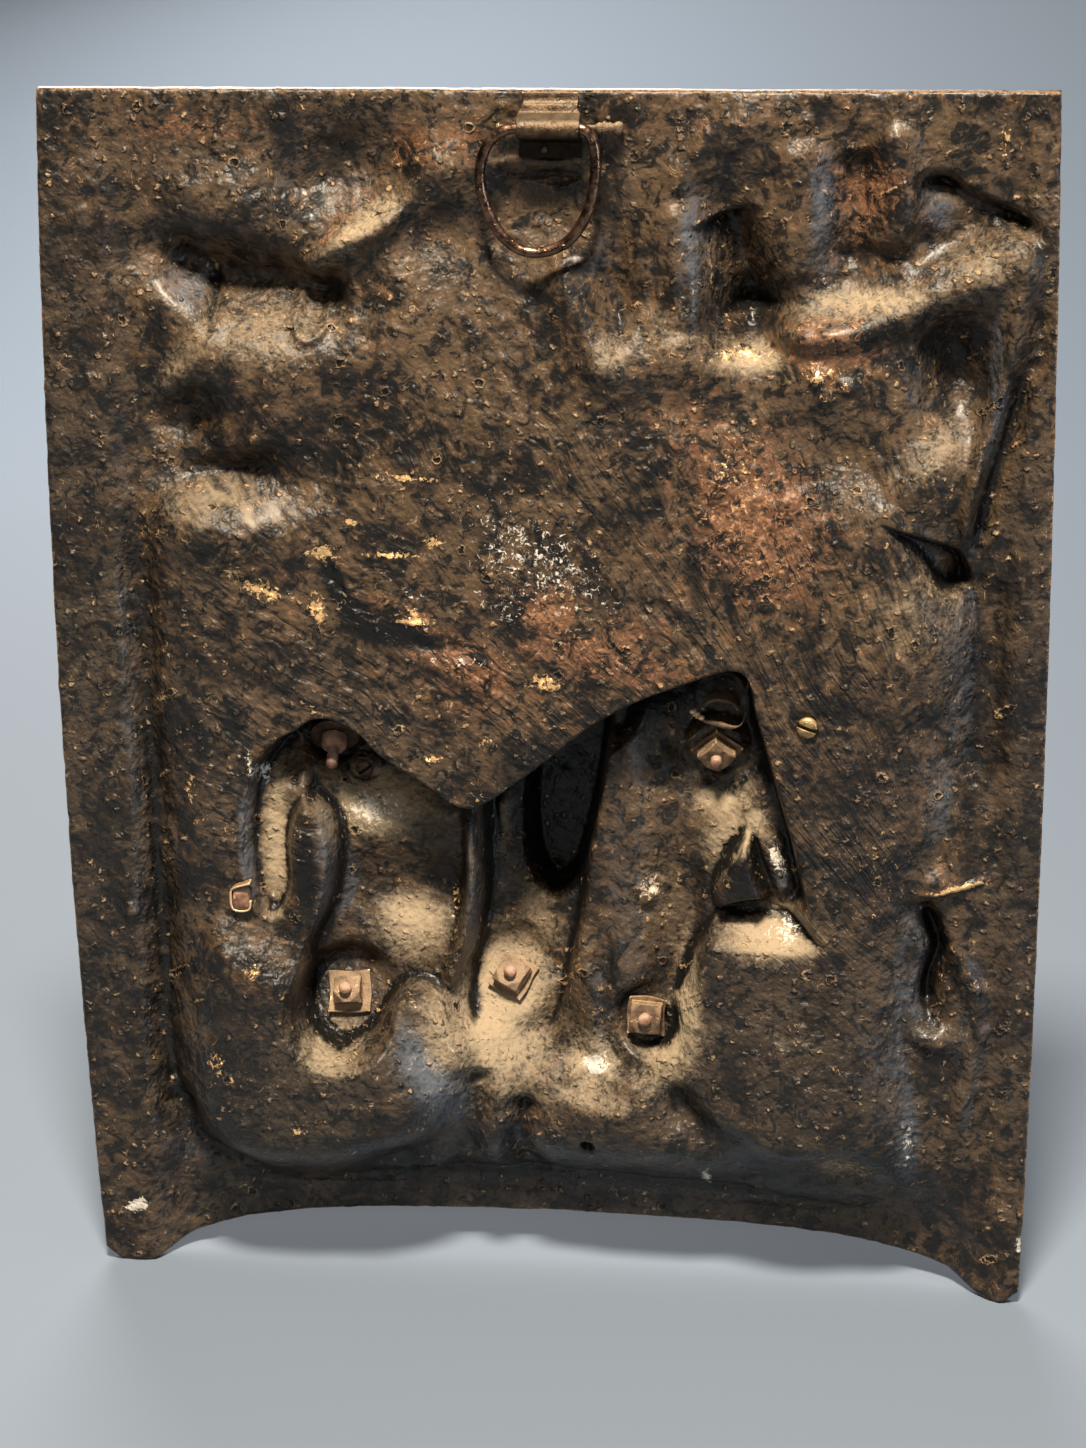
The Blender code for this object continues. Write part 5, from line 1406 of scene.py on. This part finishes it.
loop = curve(RING_LOOP, closed=True, steps=12)
wander = noise(np.arange(len(loop)) / 9.0, np.zeros(len(loop)), 61)
ring_radii = WIRE_RADIUS * (0.985 + 0.015 * wander)
ring_mesh = wire("ring", [(a * MM, 0.0, b * MM) for a, b in loop], ring_radii, closed=True)
ring = keep("ring", ring_mesh, ring_copper, ["hanging_ring"], body="ring")
print("ring:", len(ring_mesh.polygons), "faces")

# %% [markdown]
# ## The strap and its pin
#
# A strip of brass about 21 mm wide comes over the top edge, steps down in two folds, wraps the
# ring's wire as a knuckle and ends in a flat tail with one small rivet. Its centre line is a
# short path. It is extruded across, thickened with solidify and its edges are bevelled.

# %% Strap
STRAP_MIDDLE, STRAP_WIDTH, STRAP_SHEET = 4.0, 20.8, 1.5


def thickened(bm, thickness):
    """Give a sheet its thickness, with all its faces outwards."""
    bmesh.ops.solidify(bm, geom=bm.faces[:], thickness=thickness)
    bmesh.ops.recalc_face_normals(bm, faces=bm.faces)


def eased(bm, offset, degrees=50):
    """Bevel every edge where two faces meet at more than some degrees."""
    sharp = [e for e in bm.edges if len(e.link_faces) == 2 and e.calc_face_angle() > radians(degrees)]
    bmesh.ops.bevel(bm, geom=sharp, offset=offset, offset_type="OFFSET", affect="EDGES", segments=2,
                    profile=0.5, material=-1)


def to_world(bm, name, matrix):
    """Finish a bmesh that was built in millimetres: place it and keep it as a mesh in metres."""
    bmesh.ops.scale(bm, vec=(MM, MM, MM), verts=bm.verts)
    bmesh.ops.transform(bm, matrix=matrix, verts=bm.verts)
    mesh = bpy.data.meshes.new(name)
    bm.to_mesh(mesh)
    bm.free()
    return mesh


back_face = HINGE_PROUD - 0.35       # the strap's back, just clear of the rim
knuckle = [(3.4 * cos(radians(t)), 3.4 * sin(radians(t))) for t in range(104, 262, 12)]
strap_path = ([(back_face - 0.7, 11.0), (back_face - 0.9, 8.6), (4.9, 7.6), (4.4, 7.2), (4.0, 5.2),
               (3.5, 4.6), (2.0, 4.2), (0.6, 3.9)] + knuckle
              + [(0.8, -3.7), (2.8, -4.3), (back_face - 1.6, -5.0), (back_face - 0.9, -5.8),
                 (back_face - 0.8, -8.0), (back_face - 0.8, -10.4)])


def strap_shape(co):
    """Slightly uneven sheet: hammered, with a bent upper corner and an uneven tail."""
    dent = 0.16 * sin(co.x * 0.55 + 1) * cos(co.z * 0.7)
    corner = 0.5 * max(0.0, -co.x - 4) / 6 * max(0.0, co.z - 6) / 5
    taper = 1 - 0.12 * min(1.0, max(0.0, co.z - 4.5) / 2)
    return Vector((co.x * taper + STRAP_MIDDLE + 0.25 * sin(co.z * 0.9), co.y - dent - corner, co.z))


STRAP_CELLS = 14
bm = bmesh.new()
_, edges = polyline(bm, [(-STRAP_WIDTH / 2, y, z) for y, z in curve(strap_path, steps=2)])
pulled(bm, edges, (STRAP_WIDTH / STRAP_CELLS, 0, 0), STRAP_CELLS)
for v in bm.verts:
    v.co = strap_shape(v.co)
thickened(bm, -STRAP_SHEET / 1.15)
eased(bm, 0.22)
strap_mesh = to_world(bm, "strap", Matrix.Identity(4))
# painted shadow: the tail below the knuckle is darkened as the knuckle's shadow
painted_shade = strap_mesh.attributes.new("soot_and_shade", "FLOAT", "POINT")
below = [-2.6 - v.co.z / MM for v in strap_mesh.vertices]
painted_shade.data.foreach_set("value", [float(soft(drop / 1.6) * 0.9) for drop in below])
strap = keep("strap", strap_mesh, strap_brass, ["hanger_strap"])


# %% Turned pieces
def spun(profile, steps, matrix, name, wobble=0.0, seed=1):
    """Turned piece from a (radius, height) profile in millimetres, from the top down."""
    bm = bmesh.new()
    verts, edges = polyline(bm, [(r, 0, h) for r, h in profile])
    bmesh.ops.spin(bm, geom=verts + edges, cent=(0, 0, 0), axis=(0, 0, 1), angle=2 * pi, steps=steps,
                   use_merge=True)
    bmesh.ops.remove_doubles(bm, verts=bm.verts, dist=0.002)
    if wobble:
        random = np.random.default_rng(seed)
        phase = random.random(3) * 6
        for v in bm.verts:
            turn = atan2(v.co.y, v.co.x)
            swell = sin(2 * turn + phase[0]) + 0.6 * sin(3 * turn + v.co.z + phase[1])
            swell = 1 + wobble * swell
            v.co.x *= swell
            v.co.y *= swell
    bmesh.ops.recalc_face_normals(bm, faces=bm.faces)
    return to_world(bm, name, matrix)


def rounded(profile, steps=4):
    """Profile whose corners are eased by a curve through its points."""
    return [(max(0.0, r), h) for r, h in curve(profile, steps=steps)]


def threaded(radius, low, high, pitch=1.0):
    """Profile of a thread between two heights, from high down to low."""
    points = []
    height = high
    while height > low + pitch:
        points += [(radius, height), (radius, height - pitch * 0.25),
                   (radius - 0.28, height - pitch * 0.5), (radius - 0.28, height - pitch * 0.7)]
        height -= pitch
    return points


def seat_matrix(x, z, depth, slope, turn=0.0):
    """Frame on a seat: Z stands out of the back face, turned by some degrees."""
    out = Vector((slope[0], -1.0, slope[1])).normalized()
    across = Vector((1.0, 0.0, 0.0))
    across = (across - across.dot(out) * out).normalized()
    up = out.cross(across)
    made = Matrix((across, up, out)).transposed().to_4x4()
    made.translation = world(x, depth, z)
    return made @ Matrix.Rotation(radians(turn), 4, "Z")


pin_frame = Matrix.Translation((0, 4.6 * MM, -0.5 * MM)) @ Matrix.Rotation(pi / 2, 4, "Y")
pin_profile = (rounded([(0, 28.4), (1.5, 28.1), (2.15, 27.2), (2.2, 26.1), (1.8, 25.3), (1.6, 24.8),
                        (2.0, 24.0), (1.7, 23.0), (2.1, 22.0), (1.7, 21.2), (1.9, 20.3), (1.4, 19.3),
                        (1.1, 18.9)], 4)
               + rounded([(1.1, 14.6), (1.1, -12.0), (1.6, -12.6), (1.5, -13.4), (0.8, -13.8),
                          (0, -13.9)], 3))
pin_mesh = spun(pin_profile, 24, pin_frame, "strap_pin", 0.09, 3)
pin = keep("strap_pin", pin_mesh, crusty_iron, ["hanger_pin"])
rivet_frame = Matrix.Translation(Vector((2.0, back_face - 1.75, -7.6)) * MM)
rivet_frame = rivet_frame @ Matrix.Rotation(pi / 2, 4, "X")
rivet_profile = rounded([(0, 0.75), (0.6, 0.65), (1.05, 0.3), (1.15, -0.3), (0.6, -0.5), (0, -0.5)], 3)
rivet = bpy.data.objects.new("strap_rivet", spun(rivet_profile, 16, rivet_frame, "strap_rivet", 0.04, 4))
bpy.context.scene.collection.objects.link(rivet)
rivet.data.materials.append(strap_brass)
rivet.data.shade_smooth()
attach(rivet, "plaque")
print("pin and rivet made")

# %% [markdown]
# ## Square nuts on threaded studs
#
# Each of these four fixings is a stud through the casting with a thin square washer and a
# thick square nut, cut and filed by hand. The washers' corners curl, the nuts' top corners
# are chamfered, and the studs' threaded ends are mushroomed. A cube, cut by slanted planes and
# bevelled, gives the nut.

# %% Nuts, washers and studs
GAP = 0.3
WASHER_SHEET = 1.7
NUT_HEIGHT = 5.0
STUD_OUT = 3.2


def square_nut(side, low, high, matrix, name, seed):
    """Square nut with slanted top corners and eased edges; its stud hides the hole."""
    bm = bmesh.new()
    bmesh.ops.create_cube(bm, size=1.0)
    bmesh.ops.scale(bm, vec=(side, side, high - low), verts=bm.verts)
    bmesh.ops.translate(bm, vec=(0, 0, (high + low) / 2), verts=bm.verts)
    random = np.random.default_rng(seed)
    for k in range(4):
        turn = radians(45 + 90 * k)
        reach = side * 0.665
        cut_at = (reach * cos(turn), reach * sin(turn), high - 0.9 - 0.5 * random.random())
        everything = bm.verts[:] + bm.edges[:] + bm.faces[:]
        cut = bmesh.ops.bisect_plane(bm, geom=everything, plane_co=cut_at, clear_outer=True,
                                     plane_no=(cos(turn) * 0.5, sin(turn) * 0.5, 1.0))
        rim_edges = [g for g in cut["geom_cut"] if isinstance(g, bmesh.types.BMEdge)]
        bmesh.ops.holes_fill(bm, edges=rim_edges)
    eased(bm, 0.35, degrees=12)
    for v in bm.verts:
        v.co.x += 0.25 * random.random() * (v.co.z - low) / (high - low) * np.sign(v.co.y)
    bmesh.ops.recalc_face_normals(bm, faces=bm.faces)
    return to_world(bm, name, matrix)


def square_washer(side, low, thickness, matrix, name, seed):
    """Thin square plate whose corners curl a little, all away from the seat."""
    random = np.random.default_rng(seed)
    curl = random.random(4) * 1.1
    bm = bmesh.new()
    bmesh.ops.create_grid(bm, x_segments=12, y_segments=12, size=side / 2)
    for v in bm.verts:
        u, w = v.co.x / side * 2, v.co.y / side * 2
        corners = [max(0, corner - 0.9) for corner in (u + w, w - u, -u - w, u - w)]
        v.co.z = low + thickness + sum(c * k for c, k in zip(corners, curl))
        v.co.x += 0.35 * sin(w * 3 + seed)
        v.co.y += 0.35 * sin(u * 2.6 + 2 * seed)
    thickened(bm, thickness)
    eased(bm, 0.3)
    return to_world(bm, name, matrix)


front_head = [(HEAD_RADIUS, -HEAD_SEAT - GAP - 0.1), (HEAD_RADIUS * 0.98, -HEAD_SEAT - 1.2),
              (HEAD_RADIUS * 0.8, -HEAD_SEAT - 2.3), (HEAD_RADIUS * 0.4, -HEAD_SEAT - 3.1),
              (0, -HEAD_SEAT - 3.3)]
for number, (name, row) in enumerate(SQUARE_FIXINGS.items()):
    x, z, depth, slope, turn, washer_side, nut_side, radius = row
    here = seat_matrix(x, z, depth, slope, turn)
    nut_low = 2 * GAP + WASHER_SHEET
    stud_top = nut_low + NUT_HEIGHT + STUD_OUT
    profile = (rounded([(0, stud_top), (radius * 0.55, stud_top - 0.15),
                        (radius * 0.95, stud_top - 0.8)], 3)
               + threaded(radius, nut_low + NUT_HEIGHT - 1.5, stud_top - 1.0)
               + [(radius - 0.1, nut_low + NUT_HEIGHT - 1.6), (radius - 0.1, -HEAD_SEAT - GAP)]
               + rounded(front_head, 3))
    shown = name + "_threaded_stud"
    stud = keep(shown, spun(profile, 24, here, shown, 0.02, number), stud_rust, [name + "_stud"])
    shown = name + "_curled_washer"
    mesh = square_washer(washer_side, GAP, WASHER_SHEET * 0.9, here, shown, number + 2)
    washer = keep(shown, mesh, nut_tan, [name + "_washer"], smooth=False)
    shown = name + "_filed_nut"
    mesh = square_nut(nut_side, nut_low, nut_low + NUT_HEIGHT, here, shown, number + 7)
    nut = keep(shown, mesh, nut_tan, [name + "_nut"], smooth=False)
print("square fixings:", len(SQUARE_FIXINGS))

# %% [markdown]
# ## Flanged bolt and slotted screws
#
# The bolt beside the left arm points down out of the deepest shade, on a large round washer.
# The two screws have low domed heads. The slot is cut with a Boolean, because it crosses the
# dome and no spin can make it.

# %% Bolt and washer
here = seat_matrix(*FLANGE_BOLT)
bolt_low = 2 * GAP + 1.3
bolt_profile = (rounded([(0, 15.0), (1.0, 14.85), (1.9, 14.2), (2.15, 13.2), (2.0, 12.0)], 3)
                + threaded(2.1, bolt_low + 6.2, 12.0)
                + rounded([(2.0, bolt_low + 5.2), (3.4, bolt_low + 4.8), (4.5, bolt_low + 3.9),
                           (4.7, bolt_low + 2.6), (4.6, bolt_low + 0.6), (4.3, bolt_low + 0.05),
                           (2.2, bolt_low)], 3)
                + [(2.0, bolt_low - 0.2), (2.0, -HEAD_SEAT - GAP)]
                + rounded([(HEAD_RADIUS, -HEAD_SEAT - GAP - 0.1), (HEAD_RADIUS, -HEAD_SEAT - 1.2),
                           (HEAD_RADIUS * 0.8, -HEAD_SEAT - 2.3), (0, -HEAD_SEAT - 3.3)], 3))
bolt_mesh = spun(bolt_profile, 28, here, "flanged_bolt", 0.015, 5)
bolt = keep("flanged_bolt", bolt_mesh, stud_rust, ["upper_left_bolt"])
washer_profile = rounded([(2.5, GAP + 0.7), (2.8, GAP + 1.25), (5, GAP + 1.3), (8.2, GAP + 1.25),
                          (8.75, GAP + 0.8), (8.7, GAP + 0.2), (8.2, GAP), (5, GAP), (2.8, GAP),
                          (2.5, GAP + 0.5), (2.5, GAP + 0.7)], 2)
washer_mesh = spun(washer_profile, 36, here, "round_washer", 0.006, 6)
round_washer = keep("round_washer", washer_mesh, dark_iron, ["upper_left_washer"])
print("bolt:", len(bolt.data.polygons), "faces")


# %% Slotted screws
def carved(piece, cutter_mesh):
    """Take a cutter out of a piece and apply the cut."""
    cutter = bpy.data.objects.new("cutter", cutter_mesh)
    bpy.context.scene.collection.objects.link(cutter)
    boolean = piece.modifiers.new("cut", "BOOLEAN")
    boolean.object = cutter
    boolean.solver = "EXACT"
    settled(piece)
    bpy.data.objects.remove(cutter)
    return piece


for number, (name, row) in enumerate(SCREWS.items()):
    x, z, depth, slope, radius, turn = row
    here = seat_matrix(x, z, depth, slope, turn)
    shank = radius * 0.42
    profile = (rounded([(0, 2.35), (radius * 0.5, 2.25), (radius * 0.85, 1.8), (radius * 0.99, 1.1),
                        (radius, 0.5), (radius * 0.96, GAP)], 4)
               + [(shank, GAP), (shank, -WALL - 1.5), (0, -WALL - 2.2)])
    screw = keep("slotted_" + name, spun(profile, 40, here, "slotted_" + name, 0.008, number),
                 screw_brass if number == 0 else dark_iron, [name])
    bm = bmesh.new()
    bmesh.ops.create_cube(bm, size=1.0)
    bmesh.ops.scale(bm, vec=(radius * 3, radius * 0.38, 3.0), verts=bm.verts)
    bmesh.ops.translate(bm, vec=(0, 0, 2.35), verts=bm.verts)
    carved(screw, to_world(bm, "slot", here))
    from_seat = [here.inverted() @ v.co / MM for v in screw.data.vertices]
    in_slot = [float(abs(p.y) < radius * 0.21 and 0.5 < p.z < 1.2) for p in from_seat]
    # painted shade: the bottom of each slot is darkened
    painted_shade = screw.data.attributes.new("soot_and_shade", "FLOAT", "POINT")
    painted_shade.data.foreach_set("value", in_slot)
print("screws:", len(SCREWS))

# %% [markdown]
# ## Bent strip, tie wire and clip
#
# Above the upper right nut a bent strip of iron arches out of the shade, tied with a wire
# that has three lumps of solder near one end. The strip is an arc, pulled into a sheet,
# thickened and bevelled. The tie is one wire, thick in its middle, and each lump is a small
# ball that the sines make uneven.

# %% Strip and wire
here = seat_matrix(*BENT_STRIP)
outer = STRIP_RADIUS - 1.0
STRIP_WIDTH, STRIP_CELLS, STRIP_SHEET = 8.6, 6, 1.1
bm = bmesh.new()
arc = [radians(26 + 128 * i / 20) for i in range(21)]
_, edges = polyline(bm, [(outer * cos(t), outer * sin(t) * (1 + 0.05 * sin(3 * t)), GAP) for t in arc])
pulled(bm, edges, (0, 0, STRIP_WIDTH / STRIP_CELLS), STRIP_CELLS)
for v in bm.verts:
    v.co.z += 0.35 * sin(v.co.x * 0.8) * (v.co.z > 6)
thickened(bm, STRIP_SHEET)
eased(bm, 0.25)
strip = keep("bent_iron", to_world(bm, "bent_iron", here), crusty_iron, ["bent_strip"])

top = 10.3                           # the tie crosses the strip this far above its seat
HOOK = [(-8.9, 3.6, top - 5.3), (-9.0, 3.4, top - 1.8), (-8.2, 2.0, top + 0.9), (-5.6, 0.2, top + 1.9),
        (0, -0.9, top + 2.3), (4.6, -2.0, top + 2.0), (7.6, -1.2, top + 1.1), (8.9, 1.8, top - 1.5),
        (9.0, 3.4, top - 4.9)]
path = curve(HOOK, steps=12)
along = np.arange(len(path)) / (len(path) - 1)
tie_radii = 0.35 - 0.18 * soft((along - 0.64) / 0.1)
for height, at, spread in [(0.70, 0.52, 0.13), (0.85, 0.19, 0.018), (0.95, 0.245, 0.016),
                           (0.75, 0.295, 0.014)]:
    tie_radii = tie_radii + height * np.exp(-((along - at) / spread) ** 2)
places = [here @ (Vector(point) * MM) for point in path]
tie_mesh = wire("twisted_tie", places, tie_radii, sides=5)
bm = bmesh.new()
bm.from_mesh(tie_mesh)
for k in range(3):
    lump = bmesh.ops.create_icosphere(bm, subdivisions=2, radius=1.0)["verts"]
    bmesh.ops.scale(bm, vec=(1.35, 0.95, 0.9), verts=lump)
    for v in lump:
        v.co *= 1 + 0.12 * sin(5 * v.co.x + k) * cos(4 * v.co.y + 2 * k)
    where = Vector((-9.3 + 1.5 * k, 2.9 - 0.9 * k, top + 0.7 + 0.5 * k))
    bmesh.ops.translate(bm, vec=where, verts=lump)
    bmesh.ops.scale(bm, vec=(MM, MM, MM), verts=lump)
    bmesh.ops.transform(bm, matrix=here, verts=lump)
bm.to_mesh(tie_mesh)
bm.free()
tie = keep("twisted_tie", tie_mesh, nut_tan, ["tie_wire"])
print("strip and tie made")

# %% [markdown]
# ## The clip
#
# Beside the left arm a small band of sheet curls round a squarish riveted end, and its upper
# lip bends out like a lid. The band is an open curve, pulled into a sheet and thickened. The
# end is turned first and then squared, so its edges stay soft.

# %% Clip
here = seat_matrix(*CLIP)
CLIP_FOOT, CLIP_HEIGHT, CLIP_CELLS, CLIP_SHEET = 0.5, 2.6, 4, 0.7
bm = bmesh.new()
band = curve([(3.7, 7.2), (1.2, 6.3), (-2.0, 5.0), (-3.7, 3.4), (-4.0, 0.4), (-3.7, -3.2), (-2.2, -4.7),
              (0.6, -4.9), (2.9, -4.2), (3.7, -2.6), (3.8, -0.6)])
_, edges = polyline(bm, [(x, y, CLIP_FOOT) for x, y in band])
pulled(bm, edges, (0, 0, CLIP_HEIGHT / CLIP_CELLS), CLIP_CELLS)
for v in bm.verts:
    v.co.z += 0.22 * max(v.co.y - 3.4, 0) * (v.co.z - CLIP_FOOT)
thickened(bm, CLIP_SHEET)
clip = keep("curled_clip", to_world(bm, "curled_clip", here), nut_tan, ["clip"])
end_profile = (rounded([(0, 3.7), (1.8, 3.55), (2.8, 3.0), (3.3, 2.0), (3.35, 0.9), (3.1, 0.3)], 4)
               + [(1.4, 0.2), (1.4, -WALL - 1.2), (0, -WALL - 1.6)])
end_mesh = spun(end_profile, 32, here, "clip_end", 0.05, 9)
for v in end_mesh.vertices:
    local = here.inverted() @ v.co
    around_it = atan2(local.y, local.x)
    square = 1 / (abs(cos(around_it)) ** 4 + abs(sin(around_it)) ** 4) ** 0.25
    v.co = here @ Vector((local.x * square, local.y * square * 1.22, local.z)) if local.z > 0 else v.co
end = keep("clip_end", end_mesh, stud_rust, ["clip_rivet"])
print("clip made")

# %% [markdown]
# ## Finish
#
# The last line prints the solids' box.

# %% The solids' box
print("solids' box:", [[round(v, 4) for v in corner] for corner in cad_box])
